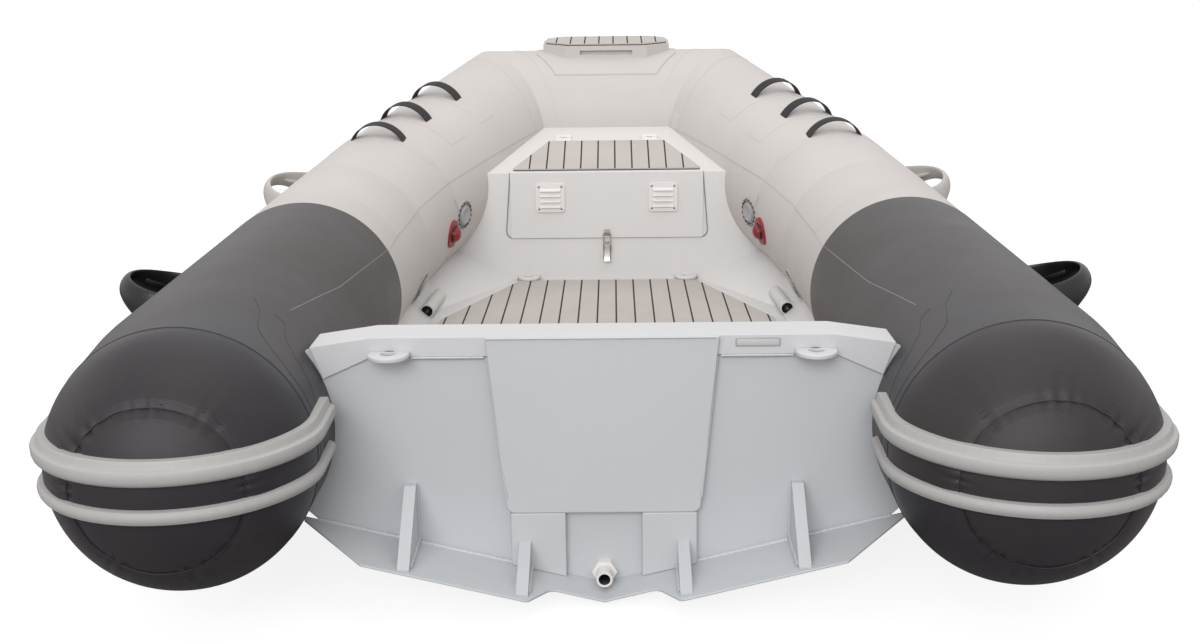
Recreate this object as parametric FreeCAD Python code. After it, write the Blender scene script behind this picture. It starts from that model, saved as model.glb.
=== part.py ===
"""Inflatable boat with a rigid V hull, about 2.8 m long, as separate solids.

Every shape is first drawn in boat coordinates, in millimetres: x to starboard, y forward from
the transom plate, z up from the tube axis at the stern. save() then moves it to the part's own
frame, whose origin is amidships on the centreline at the waterline.
"""
import FreeCAD, Part
import math
import os

V = FreeCAD.Vector
os.makedirs("parts", exist_ok=True)

# Buoyancy tubes
tube_radius = 207.0
stern_axis_x = 628.0
seam_behind_transom = 159.0
waist_y = 1080.0
waist_axis_x = 664.0
shoulder_y = 1370.0
shoulder_axis_x = 650.0
shoulder_rise = 18.0
quarter_y = 1630.0
quarter_axis_x = 590.0
quarter_rise = 68.0
bow_axis_y = 2250.0
bow_corner_x = 317.0
bow_rise = 238.0
tail_axis_x = 617.0
tail_rise = 7.0
tail_radius = 197.0
tail_depth = 182.0
tail_side_radius = 147.0
taper_from_y = 10.0
colour_seam_y = 900.0

# Rigid hull
deck_depth = 152.0
bilge_depth = 122.0
keel_depth = deck_depth + bilge_depth
deadrise = 13.8
chine_x = 455.0
cockpit_corner_y = 1335.0
cheek_toe_x = 254.0
cheek_top_x = 430.0
cheek_top_depth = 64.0
straight_bottom_y = 1000.0
stem_y = 2270.0
stem_z = -15.0
stem_half_width = 40.0
stem_chine_z = 45.0
hull_steps = 10
hull_wall = 12.0
plate = 4.0
float_line_depth = 180.0
bulkhead_gap = 35.0
keel_guard_half_width = 20.0
keel_guard_drop = 7.0
keel_guard_rise = 12.0
rail_inner_x = 165.0
rail_outer_x = 305.0
rail_inner_side = 14.0
rail_outer_side = 16.0
rail_drop = 6.0
rail_aft_y = 42.0
rail_fore_y = 1180.0

# Transom
transom_height = 145.0
transom_thick = 12.0
cap_width = 60.0
cap_lip = 31.0
cap_thick = 5.0
cap_knuckle_x = 360.0
cap_tip_x = 456.0
cap_tip_drop = 14.0
cap_tip_lip = 52.0
pad_top_width = 364.0
pad_foot_width = 308.0
pad_height = 290.0
pad_thick = 14.0
pad_corner_radius = 14.0
leg_width = 88.0
leg_gap = 122.0

# Stern extension of the bottom
extension_length = 130.0
extension_half_width = 372.0
notch_half_width = 84.0
notch_mouth_half_width = 118.0
notch_depth = 60.0
notch_radius = 22.0
ear_radius = 12.0
gusset_outer_x = 308.0
gusset_inner_x = 127.0
gusset_thick = 19.0
gusset_outer_height = 98.0
gusset_inner_height = 47.0

# Bow locker
locker_y = 1718.0
locker_top_z = 147.0
lid_slope = 15.0
lid_half_width = 265.0
lid_foot_half_width = 279.0
lid_rear_half_width = 193.0
lid_depth = 232.0
lid_front_height = 181.0
lid_corner_radius = 22.0
lid_gap = 0.5
lid_rim_overlap = 16.0
panel = 5.0
foam_thick = 6.0
vent_size = 80.0
vent_x = 155.0
vent_below_top = 68.0
latch_width = 22.0
hinge_x = 124.0
hinge_length = 44.0
hinge_pin_radius = 4.0

# Rub strakes
strake_upper_z = 36.0
strake_upper_height = 44.0
strake_upper_thick = 17.0
strake_lower_z = -31.0
strake_lower_height = 26.0
strake_lower_thick = 12.0
strake_bed = 14.0

# Fittings
eye_hole_radius = 12.0
tow_eye_x = 331.0
tow_eye_radius = 32.0
floor_eye_x = 218.0
floor_eye_radius = 30.0
floor_eye_hole = 11.0
floor_eye_root = 19.0
eye_root = 14.0
eye_thick = 8.0
drain_radius = 13.0
drain_bore_radius = 9.5
drain_length = 42.0
drain_above_bottom = 22.5
drain_nut_corner = 20.5
drain_nut_length = 14.0
conduit_radius = 17.0
conduit_wall = 2.5
conduit_bore_length = 90.0
conduit_root_x = 436.0
conduit_root_y = 1440.0
conduit_root_rise = 24.0
conduit_mouth_x = 450.0
conduit_mouth_y = 1290.0
webbing_width = 32.0
webbing_thick = 4.0
webbing_span = 150.0
webbing_height = 48.0
webbing_first_y = 1625.0
webbing_pitch = 150.0
webbing_count = 3
handle_angle = 30.0
handle_length = 230.0
handle_height = 76.0
handle_grip_thick = 16.0
handle_aft_y = 450.0
handle_aft_reach = 84.0
handle_forward_y = 1450.0
handle_forward_reach = 72.0
valve_radius = 40.0
valve_aft_y = 1305.0
valve_aft_angle = 205.0
valve_forward_y = 1671.0
valve_forward_angle = 187.0
relief_radius = 37.0
relief_y = 1563.0
relief_angle = 191.0
bow_eye_y = 2150.0
bow_eye_radius = 30.0
bow_eye_thick = 12.0
bow_eye_root_aft = 50.0
bow_eye_root_fore = 26.0
bow_eye_root_height = 52.0

# Bow step
step_height = 24.0
step_lean = 4.0
step_half_width = 190.0
step_aft_half_width = 122.0
step_fore_half_width = 140.0
step_aft_reach = 92.0
step_fore_reach = 104.0
step_side_aft = 40.0
step_side_fore = 60.0
step_pad_margin = 8.5
step_slot_half_width = 78.0
step_slot_depth = 12.0
step_slot_height = 12.0
step_slot_drop = 20.0
step_skirt = 3.0
step_skirt_aft = 58.0
step_skirt_side = 20.0
step_skirt_fore = 36.0
step_blank_height = 60.0

# Cockpit floor
floor_pad_half_width = 412.0
floor_pad_aft_y = 70.0
floor_pad_corner_y = 1245.0
floor_pad_fore_half_width = 241.0
floor_pad_locker_gap = 37.0
floor_pad_radius = 18.0
limber_radius = 13.0

overall_length = bow_axis_y + tube_radius + seam_behind_transom + tail_depth
midship_y = overall_length / 2.0 - seam_behind_transom - tail_depth


def save(name, shapes):
    """Write one sub-part, moved from boat coordinates to the part's own frame."""
    solids = []
    for shape in shapes:
        solids.extend(shape.Solids)
    moved = Part.makeCompound(solids) if len(solids) > 1 else solids[0]
    moved = moved.copy()
    moved.translate(V(0, -midship_y, float_line_depth))
    moved.exportStep("parts/" + name + ".step")


def mirrored(shape):
    """The same shape on the other side of the centreline."""
    return shape.mirror(V(0, 0, 0), V(1, 0, 0))


def polygon(points):
    """Closed planar face through the points."""
    return Part.Face(Part.makePolygon(list(points) + [points[0]]))


def half_space(point, normal, reach=6000.0):
    """Large block that fills the side of a plane its normal points to."""
    block = Part.makeBox(reach, reach, reach, V(-reach / 2, -reach / 2, 0))
    turn = FreeCAD.Rotation(V(0, 0, 1), normal)
    block.Placement = FreeCAD.Placement(point, turn)
    return block


def prism_x(points, half_width):
    """Side-view outline of (y, z) points, extruded both ways from the centreline."""
    face = polygon([V(-half_width, y, z) for y, z in points])
    return face.extrude(V(2 * half_width, 0, 0))


def prism_y(points, y_from, y_to):
    """End-view outline of (x, z) points, extruded along the boat."""
    face = polygon([V(x, y_from, z) for x, z in points])
    return face.extrude(V(0, y_to - y_from, 0))


def prism_z(points, z_from, z_to):
    """Plan outline of (x, y) points, extruded upwards."""
    face = polygon([V(x, y, z_from) for x, y in points])
    return face.extrude(V(0, 0, z_to - z_from))


def both_sides(half):
    """Outline made whole by its mirror image in the centreline."""
    return half + [(-x, other) for x, other in reversed(half)]


# Axis of the starboard tube, from its tail seam to the bow corner
axis_points = [
    V(stern_axis_x, -seam_behind_transom, 0),
    V(waist_axis_x, waist_y, 0),
    V(shoulder_axis_x, shoulder_y, shoulder_rise),
    V(quarter_axis_x, quarter_y, quarter_rise),
    V(bow_corner_x, bow_axis_y, bow_rise),
    V(-bow_corner_x, bow_axis_y, bow_rise),
]


def run_direction(index):
    """Unit vector along one straight run of the tube axis."""
    return (axis_points[index + 1] - axis_points[index]).normalize()


def run_index(y):
    """Number of the straight side run that holds this distance forward."""
    ends = [point.y for point in axis_points[1:4]]
    return sum(1 for end in ends if y > end)


def axis_at(y):
    """Point of the starboard tube axis at a distance forward of the transom."""
    start, end = axis_points[run_index(y)], axis_points[run_index(y) + 1]
    share = (y - start.y) / (end.y - start.y)
    return start + (end - start) * share


def mitre_normal(index):
    """Normal of the plane in which runs index - 1 and index meet."""
    return (run_direction(index - 1) + run_direction(index)).normalize()


def tube_run(index, extra=300.0):
    """One straight run of tube, cut off in its two mitre planes."""
    start, end = axis_points[index], axis_points[index + 1]
    along = run_direction(index)
    run = Part.makeCylinder(tube_radius, (end - start).Length + 2 * extra, start - along * extra, along)
    first = along if index == 0 else mitre_normal(index)
    run = run.cut(half_space(start, first * -1))
    if index < len(axis_points) - 2:
        return run.cut(half_space(end, mitre_normal(index + 1)))
    half = run.cut(half_space(V(0, 0, 0), V(-1, 0, 0)))
    return half.fuse(mirrored(half)).removeSplitter()


def tail_arcs():
    """Centres of the side and end arcs of the tail's outline, the end radius and the side arc's angle."""
    across, depth, side = tail_radius, tail_depth, tail_side_radius
    end = ((across - side) ** 2 + depth ** 2 - side ** 2) / (2 * (depth - side))
    centre_side = V(across - side, 0, 0)
    centre_end = V(0, end - depth, 0)
    angle = math.degrees(math.atan2(end - depth, across - side))
    return centre_side, centre_end, end, angle


tail_root = V(tail_axis_x, -seam_behind_transom, tail_rise)


def to_stern(shape):
    """Move a shape drawn about its own y axis to the root of the starboard tail."""
    turn = FreeCAD.Rotation(V(0, 1, 0), run_direction(0))
    shape.Placement = FreeCAD.Placement(tail_root, turn).multiply(shape.Placement)
    return shape


def make_tail():
    """Dark stern end of the starboard tube: a turned end, a taper, and the straight part up to the colour seam."""
    centre_side, centre_end, end, angle = tail_arcs()
    down = V(0, 0, -1)
    outline = [
        Part.makeCircle(tail_side_radius, centre_side, down, 0, angle),
        Part.makeCircle(end, centre_end, down, angle, 90),
        Part.makeLine(V(0, -tail_depth, 0), V(0, 0, 0)),
        Part.makeLine(V(0, 0, 0), V(tail_radius, 0, 0)),
    ]
    end_cap = Part.Face(Part.Wire(outline)).revolve(V(0, 0, 0), V(0, 1, 0), 360)
    along = run_direction(0)
    rings = [Part.makeCircle(tail_radius, tail_root, along),
             Part.makeCircle(tube_radius, axis_at(taper_from_y), along)]
    taper = Part.makeLoft([Part.Wire(ring) for ring in rings], True, True)
    straight = tube_run(0).cut(half_space(axis_at(colour_seam_y), along))
    straight = straight.cut(half_space(axis_at(taper_from_y), along * -1))
    return to_stern(end_cap).fuse([taper, straight]).removeSplitter()


def make_side_tube():
    """Starboard tube from the colour seam to the mitre at the bow corner."""
    tube = tube_run(0).cut(half_space(axis_at(colour_seam_y), run_direction(0) * -1))
    for index in (1, 2, 3):
        tube = tube.fuse(tube_run(index))
    return tube.removeSplitter()


tail = make_tail()
side_tube = make_side_tube()
bow_tube = tube_run(4)
tubes = [tail, side_tube, bow_tube, mirrored(tail), mirrored(side_tube)]


def clear_of_tubes(shape):
    """Cut away what lies inside the five lengths of tube."""
    near = [tube for tube in tubes if tube.BoundBox.intersect(shape.BoundBox)]
    return shape.cut(near)


# Rub strakes

def strake_section(height, thick, ledge):
    """Section of a rub strake as (out, up) points: a chamfered ridge, with or without a ledge over it."""
    edge = strake_bed + 0.45 * thick
    crest = strake_bed + thick
    half = height / 2
    foot = [(0, -half), (edge, -half), (crest, -0.4 * half)]
    if ledge:
        return foot + [(crest, 0.15 * half), (edge, 0.45 * half), (strake_bed + 0.3 * thick, half), (0, half)]
    return foot + [(crest, 0.4 * half), (edge, half), (0, half)]


def strake_face(point, along, outline):
    """Face of a rub strake's section at a point of its bed line, square to a level direction."""
    outward = V(along.y, -along.x, 0).normalize()
    return polygon([point + outward * out + V(0, 0, up) for out, up in outline])


def strake_around_tail(level, outline):
    """The strake from the inner side of the tail, round its end, to its outer side."""
    lead_in = 120.0
    bed = tail_radius - strake_bed
    centre_side, centre_end, _, angle = tail_arcs()
    inner_side = V(-centre_side.x, 0, 0)
    axis = V(0, 0, 1)
    section = strake_face(V(-bed, 0, level), V(0, -1, 0), outline)
    pieces = [section.extrude(V(0, lead_in, 0))]
    for centre, turn in ((inner_side, angle), (centre_end, 180 - 2 * angle), (centre_side, angle)):
        pieces.append(section.revolve(centre, axis, turn))
        section = section.copy()
        section.rotate(centre, axis, turn)
    return [to_stern(piece) for piece in pieces]


def strake_corners(level):
    """Corners of the bed line along the outer side, from the tail's root to the bow centreline."""
    bed = tube_radius - strake_bed
    first = run_direction(0)
    outward = V(first.y, -first.x, 0).normalize()
    corners = [tail_root + outward * (tail_radius - strake_bed), axis_at(taper_from_y) + outward * bed]
    for index in (1, 2, 3, 4):
        before, after = run_direction(index - 1), run_direction(index)
        normals = [V(d.y, -d.x, 0).normalize() for d in (before, after)]
        lean = (normals[0] + normals[1]) * (1.0 / (1 + normals[0].dot(normals[1])))
        corners.append(axis_points[index] + lean * bed)
    corners.append(V(0, corners[-1].y, corners[-1].z))
    return [corner + V(0, 0, level) for corner in corners]


def strake_runs(level, outline):
    """Straight runs of the strake, mitred at the corners of the tube."""
    corners = strake_corners(level)
    headings = []
    for start, end in zip(corners, corners[1:]):
        headings.append(V(end.x - start.x, end.y - start.y, 0).normalize())
    pieces = []
    for index, (start, end) in enumerate(zip(corners, corners[1:])):
        along = (end - start).normalize()
        spare = along * (0 if index == 0 else 150)
        run = strake_face(start - spare, headings[index], outline)
        run = run.extrude(end - start + spare + along * 150)
        if index:
            run = run.cut(half_space(start, (headings[index - 1] + headings[index]) * -1))
        last = index == len(headings) - 1
        heading_after = headings[index] if last else headings[index + 1]
        pieces.append(run.cut(half_space(end, headings[index] + heading_after)))
    return pieces


def make_strake(level, outline):
    """Starboard half of one rub strake, seated on the tubes."""
    pieces = [piece.cut(tail) for piece in strake_around_tail(level, outline)]
    pieces += [clear_of_tubes(piece) for piece in strake_runs(level, outline)]
    whole = pieces[0].fuse(pieces[1:])
    return max(whole.Solids, key=lambda solid: solid.Volume)


# Hull

def hull_section(y, keel_z, side_x, side_z, wall):
    """Closed V section a wall's thickness inside the shell: keel, chine, and a flare up into the tube."""
    inner = axis_at(max(y, 0.0))
    rise = inner.z + 1.5 * wall
    half = [(side_x - wall, side_z + 0.5 * wall), (inner.x, rise)]
    if wall:
        half.append((inner.x, rise + 500))
    outline = both_sides(half) + [(0, keel_z + wall)]
    return Part.makePolygon([V(x, y, z) for x, z in outline + outline[:1]])


def hull_stations():
    """Distance forward, keel height, chine half breadth and chine height of each section."""
    stations = [(transom_thick, -keel_depth, chine_x, bottom_height(chine_x))]
    for step in range(hull_steps + 1):
        share = step / hull_steps
        stations.append((
            straight_bottom_y + share * (stem_y - straight_bottom_y),
            -keel_depth + (keel_depth + stem_z) * share ** 6,
            chine_x - (chine_x - stem_half_width) * share ** 4,
            bottom_height(chine_x) + (stem_chine_z - bottom_height(chine_x)) * share ** 2.8,
        ))
    return stations


def hull_loft(wall):
    """Solid through the hull's sections, a wall's thickness inside the shell."""
    return Part.makeLoft([hull_section(*station, wall) for station in hull_stations()], True, True)


def make_cheek():
    """Sloping wedge of deck that fills the corner between the cockpit side and the locker."""
    deck = -deck_depth
    toe = V(cheek_toe_x, locker_y, deck)
    crown = V(cheek_top_x, locker_y, -cheek_top_depth)
    aft = V(chine_x, cockpit_corner_y, deck)
    slope = (aft - toe).cross(crown - toe).normalize()
    if slope.z > 0:
        slope = slope * -1
    block = Part.makeBox(chine_x, locker_y - cockpit_corner_y, deck_depth, V(cheek_toe_x / 2, cockpit_corner_y, deck))
    return block.common(half_space(toe, slope))


def make_hull():
    """Decked V hull: its shell, the deck, the cheeks and the bulkhead under the bow tube."""
    blank = clear_of_tubes(hull_loft(0.0))
    deck = -deck_depth
    bulkhead_y = bow_axis_y - tube_radius - bulkhead_gap
    inside = prism_z(both_sides([(stern_axis_x + tube_radius, 0.0), (stern_axis_x + tube_radius, bulkhead_y)]),
                     deck, 600.0)
    cheek = make_cheek()
    cavity = hull_loft(hull_wall).common(inside).cut([cheek, mirrored(cheek)])
    shell = blank.cut(cavity)
    return max(shell.Solids, key=lambda solid: solid.Volume)


def bottom_height(x):
    """Height of the straight part of the V bottom at a distance from the centreline."""
    return -keel_depth + abs(x) * math.tan(math.radians(deadrise))


hull = make_hull()


def keel_line(drop):
    """Points down the keel, as (y, z), at a drop below it."""
    return [(station[0], station[1] - drop) for station in hull_stations()]


def make_keel_guard():
    """Wear strip along the keel, seated on the V."""
    lower = [V(0, y, z) for y, z in keel_line(keel_guard_drop)]
    upper = [V(0, y, z) for y, z in keel_line(-keel_guard_rise)]
    below = Part.BSplineCurve()
    below.interpolate(lower[:-1])
    over = Part.BSplineCurve()
    over.interpolate(upper[:-1])
    outline = [
        below.toShape(),
        Part.makeLine(lower[-2], upper[-2]),
        over.toShape(),
        Part.makeLine(upper[0], lower[0]),
    ]
    face = Part.Face(Part.Wire(Part.__sortEdges__(outline)))
    face.translate(V(-keel_guard_half_width, 0, 0))
    strip = face.extrude(V(2 * keel_guard_half_width, 0, 0)).cut(hull)
    return max(strip.Solids, key=lambda solid: solid.Volume)


def make_lifting_strakes():
    """Four triangular spray rails under the straight part of the bottom."""
    rails = []
    for x in (rail_inner_x, rail_outer_x):
        z = bottom_height(x)
        side = x + rail_outer_side
        outline = [(x - rail_inner_side, z + rail_drop), (side, bottom_height(side) + rail_drop),
                   (side, z - rail_drop)]
        rail = prism_y(outline, rail_aft_y, rail_fore_y).cut(hull)
        rails.append(max(rail.Solids, key=lambda solid: solid.Volume))
    return rails + [mirrored(rail) for rail in rails]


# Transom and stern extension

def make_transom():
    """Flat transom between the tubes, cut to the V of the bottom."""
    top = transom_height - cap_thick
    half = [
        (chine_x, bottom_height(chine_x)),
        (stern_axis_x, 0.0),
        (stern_axis_x, 60.0),
        (cap_tip_x, top - cap_tip_drop),
        (cap_knuckle_x, top),
    ]
    outline = both_sides(half) + [(0, -keel_depth)]
    return clear_of_tubes(prism_y(outline, 0.0, transom_thick))


def make_cap():
    """Flanged capping of the transom, with a turned-down lip that deepens into its wings."""
    top = transom_height
    crown = [(cap_tip_x, top - cap_tip_drop), (cap_knuckle_x, top)]
    under = [(x, z - cap_thick) for x, z in reversed(crown)]
    flange = prism_y(both_sides(crown) + [(-x, z) for x, z in reversed(under)] + under,
                     -cap_thick, cap_width - cap_thick)
    lip_half = [
        (cap_tip_x - 18, top - cap_tip_drop - cap_tip_lip),
        (cap_tip_x, top - cap_tip_drop),
        (cap_knuckle_x, top),
    ]
    lip_foot = [(cap_knuckle_x, top - cap_lip)]
    outline = both_sides(lip_half) + [(-x, z) for x, z in lip_foot] + lip_foot
    lip = prism_y(outline, -cap_thick, 0.0)
    front = prism_y(
        [(cap_knuckle_x, top - cap_thick), (cap_knuckle_x, top - 25), (-cap_knuckle_x, top - 25),
         (-cap_knuckle_x, top - cap_thick)], cap_width - 2 * cap_thick, cap_width - cap_thick)
    return clear_of_tubes(flange.fuse([lip, front]).removeSplitter())


def make_engine_pad(cap):
    """Tapered clamping pad for an outboard, with rounded lower corners."""
    top = transom_height
    foot = top - pad_height
    outline = both_sides([(pad_foot_width / 2, foot), (pad_top_width / 2, top)])
    pad = prism_y(outline, -pad_thick, 0.0)
    corners = [edge for edge in pad.Edges
               if abs(edge.CenterOfMass.z - foot) < 1 and abs(edge.CenterOfMass.x) > pad_foot_width / 4
               and edge.Length < pad_thick + 1]
    return pad.makeFillet(pad_corner_radius, corners).cut(cap)


def make_extension():
    """Bottom plate carried aft of the transom, with cut-away corners and a notch for the engine."""
    wide = chine_x + 25
    half = [(wide, bottom_height(wide)), (wide, bottom_height(wide) + plate)]
    outline = [(0, -keel_depth)] + half + [(0, -keel_depth + plate)] + \
        [(-x, z) for x, z in reversed(half)]
    plate_v = prism_y(outline, -extension_length, 0.0)
    plan = both_sides([
        (notch_half_width, -extension_length + notch_depth),
        (notch_mouth_half_width, -extension_length),
        (extension_half_width, -extension_length),
        (wide, -14.0),
        (wide, 0.0),
    ])
    cutter = prism_z(plan, -400.0, 0.0)
    for x, y, radius in ((notch_half_width, notch_depth - extension_length, notch_radius),
                         (notch_mouth_half_width, -extension_length, ear_radius)):
        corners = [edge for edge in cutter.Edges if abs(abs(edge.CenterOfMass.x) - x) < 1
                   and abs(edge.CenterOfMass.y - y) < 1 and edge.Length > 399]
        cutter = cutter.makeFillet(radius, corners)
    return clear_of_tubes(plate_v.common(cutter))


def make_gusset(x, height, reach):
    """Upright web between the transom and the stern extension."""
    foot = bottom_height(x) - 30
    crown = bottom_height(x) + plate + height
    toe = bottom_height(x) + plate + 3
    outline = [(0, foot), (0, crown), (-14, crown), (-reach, toe), (-reach, foot)]
    web = prism_x(outline, gusset_thick / 2)
    web.translate(V(x, 0, 0))
    return web


def eye_plate(radius, hole, thick, root):
    """Half-round plate with a hole, lying flat, pointing aft from the origin."""
    body = Part.makeBox(2 * radius, root, thick, V(-radius, -root, 0))
    nose = Part.makeCylinder(radius, thick, V(0, -root, 0), V(0, 0, 1), 180)
    nose.rotate(V(0, -root, 0), V(0, 0, 1), 180)
    plate_eye = body.fuse(nose).removeSplitter()
    return plate_eye.cut(Part.makeCylinder(hole, 3 * thick, V(0, -root, -thick)))


def make_drain():
    """Drain spigot at the foot of the transom with its hexagon nut."""
    z = -keel_depth + plate + drain_above_bottom
    spigot = Part.makeCylinder(drain_radius, drain_length, V(0, 0, z), V(0, -1, 0))
    corners = []
    for step in range(6):
        angle = math.radians(60 * step)
        corners.append((drain_nut_corner * math.cos(angle), z + drain_nut_corner * math.sin(angle)))
    nut = prism_y(corners, -drain_nut_length, 0.0)
    bore = Part.makeCylinder(drain_bore_radius, drain_length + 2, V(0, 1, z), V(0, -1, 0))
    return spigot.fuse(nut).removeSplitter().cut(bore)


transom = make_transom()
cap = make_cap()
engine_pad = make_engine_pad(cap)
extension = make_extension()

save("lifting_strakes", make_lifting_strakes())
save("transom_plate", [transom])
save("transom_cap", [cap])
save("engine_pad", [engine_pad])
save("stern_extension", [extension])
save("drain_spigot", [make_drain()])

legs = []
for side in (-1, 1):
    inner = side * leg_gap / 2
    outer = side * (leg_gap / 2 + leg_width)
    crown = transom_height - pad_height
    leg = prism_y([(inner, crown), (outer, crown), (outer, -keel_depth), (inner, -keel_depth)],
                  -pad_thick, 0.0)
    leg = leg.cut(extension).cut(prism_z([(-300, -20), (300, -20), (300, 20), (-300, 20)], -400, bottom_height(60)))
    legs.append(max(leg.Solids, key=lambda solid: solid.Volume))
save("engine_pad_legs", legs)

gussets = []
for x, height, reach in (
    (gusset_outer_x, gusset_outer_height, extension_length - 6),
    (gusset_inner_x, gusset_inner_height, extension_length - 12),
):
    web = make_gusset(x, height, reach).cut([extension] + legs)
    web = web.cut(prism_y([(-900, -900), (0, -keel_depth), (900, bottom_height(900)), (900, -900)], -400, 10))
    web = max(web.Solids, key=lambda solid: solid.Volume)
    gussets += [web, mirrored(web)]
save("stern_gussets", gussets)

tow_eyes = []
for side in (-1, 1):
    eye = eye_plate(tow_eye_radius, eye_hole_radius, eye_thick, eye_root)
    eye.translate(V(side * tow_eye_x, -cap_thick, transom_height - cap_lip + 2))
    tow_eyes.append(eye)
save("towing_eyes", tow_eyes)

save("tube_starboard", [side_tube])
save("tube_port", [mirrored(side_tube)])
save("tube_bow", [bow_tube])
save("tail_starboard", [tail])
save("tail_port", [mirrored(tail)])

for name, level, outline in (
    ("rub_strake_upper", strake_upper_z, strake_section(strake_upper_height, strake_upper_thick, True)),
    ("rub_strake_lower", strake_lower_z, strake_section(strake_lower_height, strake_lower_thick, False)),
):
    strake = make_strake(level, outline)
    save(name + "_starboard", [strake])
    save(name + "_port", [mirrored(strake)])


# Handles, valves and eyes on the tubes

def onto_tube(shape, y, angle):
    """Seat a shape on the starboard tube: its x along the tube, its z out of the skin, at an angle
    above the outboard side."""
    along = run_direction(run_index(y))
    level = V(along.y, -along.x, 0).normalize()
    up = level.cross(along).normalize()
    turn = math.radians(angle)
    outward = level * math.cos(turn) + up * math.sin(turn)
    side = outward.cross(along)
    matrix = FreeCAD.Matrix(
        along.x, side.x, outward.x, axis_at(y).x,
        along.y, side.y, outward.y, axis_at(y).y,
        along.z, side.z, outward.z, axis_at(y).z,
        0, 0, 0, 1)
    shape = shape.copy()
    shape.transformShape(matrix)
    return shape


def arch(span, rise, foot_height, thick, width):
    """Flat strap bent to an arc over a chord, in the plane across x, feet at a height above z = 0."""
    half = span / 2
    outer = (half * half + rise * rise) / (2 * rise)
    rooted = 14.0
    sweep = math.acos((outer - rise - rooted) / outer)
    chords = 14
    outline = []
    for radius, way in ((outer, 1), (outer - thick, -1)):
        for step in range(chords + 1):
            turn = way * sweep * (2 * step / chords - 1)
            outline.append((radius * math.sin(turn), foot_height + rise - outer + radius * math.cos(turn)))
    return prism_x(outline, width / 2)


def make_grab_handle(y):
    """Webbing loop across the top of the starboard tube."""
    foot = math.sqrt(tube_radius ** 2 - (webbing_span / 2) ** 2)
    loop = arch(webbing_span, webbing_height, foot, webbing_thick, webbing_width)
    return clear_of_tubes(onto_tube(loop, y, 90.0))


def make_lifting_handle(y, length, reach, height):
    """Moulded lifting handle on the outboard side: a welded base and a stout loop along the tube."""
    base = Part.makeBox(length, height, 30, V(-length / 2, -height / 2, tube_radius - 24))
    skin = Part.makeCylinder(tube_radius + 6, length, V(-length / 2, 0, 0), V(1, 0, 0))
    base = base.common(skin)
    span = length - 50
    rise = reach
    outer = (span * span / 4 + rise * rise) / (2 * rise)
    centre = V(0, -height / 4, tube_radius + rise - outer)
    loop = Part.makeCylinder(outer, height / 2, centre, V(0, 1, 0))
    loop = loop.cut(Part.makeCylinder(outer - handle_grip_thick, height / 2, centre, V(0, 1, 0)))
    loop = loop.common(Part.makeBox(2 * length, height, reach + 24, V(-length, -height / 2, tube_radius - 12)))
    handle = clear_of_tubes(onto_tube(base.fuse(loop), y, handle_angle))
    return handle.removeSplitter()


grab_handles = [make_grab_handle(webbing_first_y + step * webbing_pitch) for step in range(webbing_count)]
save("grab_handles_starboard", grab_handles)
save("grab_handles_port", [mirrored(handle) for handle in grab_handles])

for name, y, reach in (("lifting_handles_aft", handle_aft_y, handle_aft_reach),
                       ("lifting_handles_forward", handle_forward_y, handle_forward_reach)):
    handle = make_lifting_handle(y, handle_length, reach, handle_height)
    save(name, [handle, mirrored(handle)])


def make_valve(y, angle, radius):
    """Inflation valve: a flanged ring with a screwed cap, let into the inner side of the tube."""
    flange = Part.makeCylinder(radius, 12, V(0, 0, tube_radius - 9))
    cap_disc = Part.makeCylinder(radius * 0.62, 9, V(0, 0, tube_radius - 1))
    body = flange.fuse(cap_disc).removeSplitter()
    return clear_of_tubes(onto_tube(body, y, angle))


def make_relief_valve(y, angle):
    """Overpressure valve: flange, ring and a domed guard."""
    skin = tube_radius
    profile = [(0, skin - 8), (relief_radius, skin - 8), (relief_radius, skin + 3), (relief_radius - 3, skin + 5),
               (0.58 * relief_radius, skin + 5), (0.55 * relief_radius, skin + 12), (0.3 * relief_radius, skin + 21),
               (0, skin + 23)]
    body = polygon([V(x, 0, z) for x, z in profile]).revolve(V(0, 0, 0), V(0, 0, 1), 360)
    return clear_of_tubes(onto_tube(body, y, angle))


valves = [make_valve(valve_aft_y, valve_aft_angle, valve_radius),
          make_valve(valve_forward_y, valve_forward_angle, valve_radius)]
save("inflation_valves", valves + [mirrored(valve) for valve in valves])
relief = make_relief_valve(relief_y, relief_angle)
save("relief_valves", [relief, mirrored(relief)])


def keel_height(y):
    """Height of the keel line at a distance forward, between the hull sections."""
    stations = hull_stations()
    for before, after in zip(stations, stations[1:]):
        if y <= after[0]:
            break
    share = (y - before[0]) / (after[0] - before[0])
    return before[1] + share * (after[1] - before[1])


def make_bow_eye(keel_guard):
    """Towing eye on the stem: a plate with a hole, standing on the keel line."""
    eye_y = bow_eye_y
    eye_z = keel_height(eye_y) - 0.8 * bow_eye_radius
    disc = Part.makeCylinder(bow_eye_radius, bow_eye_thick, V(-bow_eye_thick / 2, eye_y, eye_z), V(1, 0, 0))
    aft, fore, height = bow_eye_root_aft, bow_eye_root_fore, bow_eye_root_height
    root_outline = [(eye_y - aft, eye_z), (eye_y + fore, eye_z + 0.25 * height), (eye_y + 0.8 * fore, eye_z + height),
                    (eye_y - 1.2 * aft, eye_z + 0.5 * height)]
    root = prism_x(root_outline, bow_eye_thick / 2)
    body = disc.fuse(root).cut([hull, keel_guard])
    body = max(body.Solids, key=lambda solid: solid.Volume)
    return body.cut(Part.makeCylinder(eye_hole_radius, 30, V(-15, eye_y, eye_z), V(1, 0, 0)))


keel_guard = make_keel_guard()
save("keel_guard", [keel_guard])
save("bow_eye", [make_bow_eye(keel_guard)])


# Bow step

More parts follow.
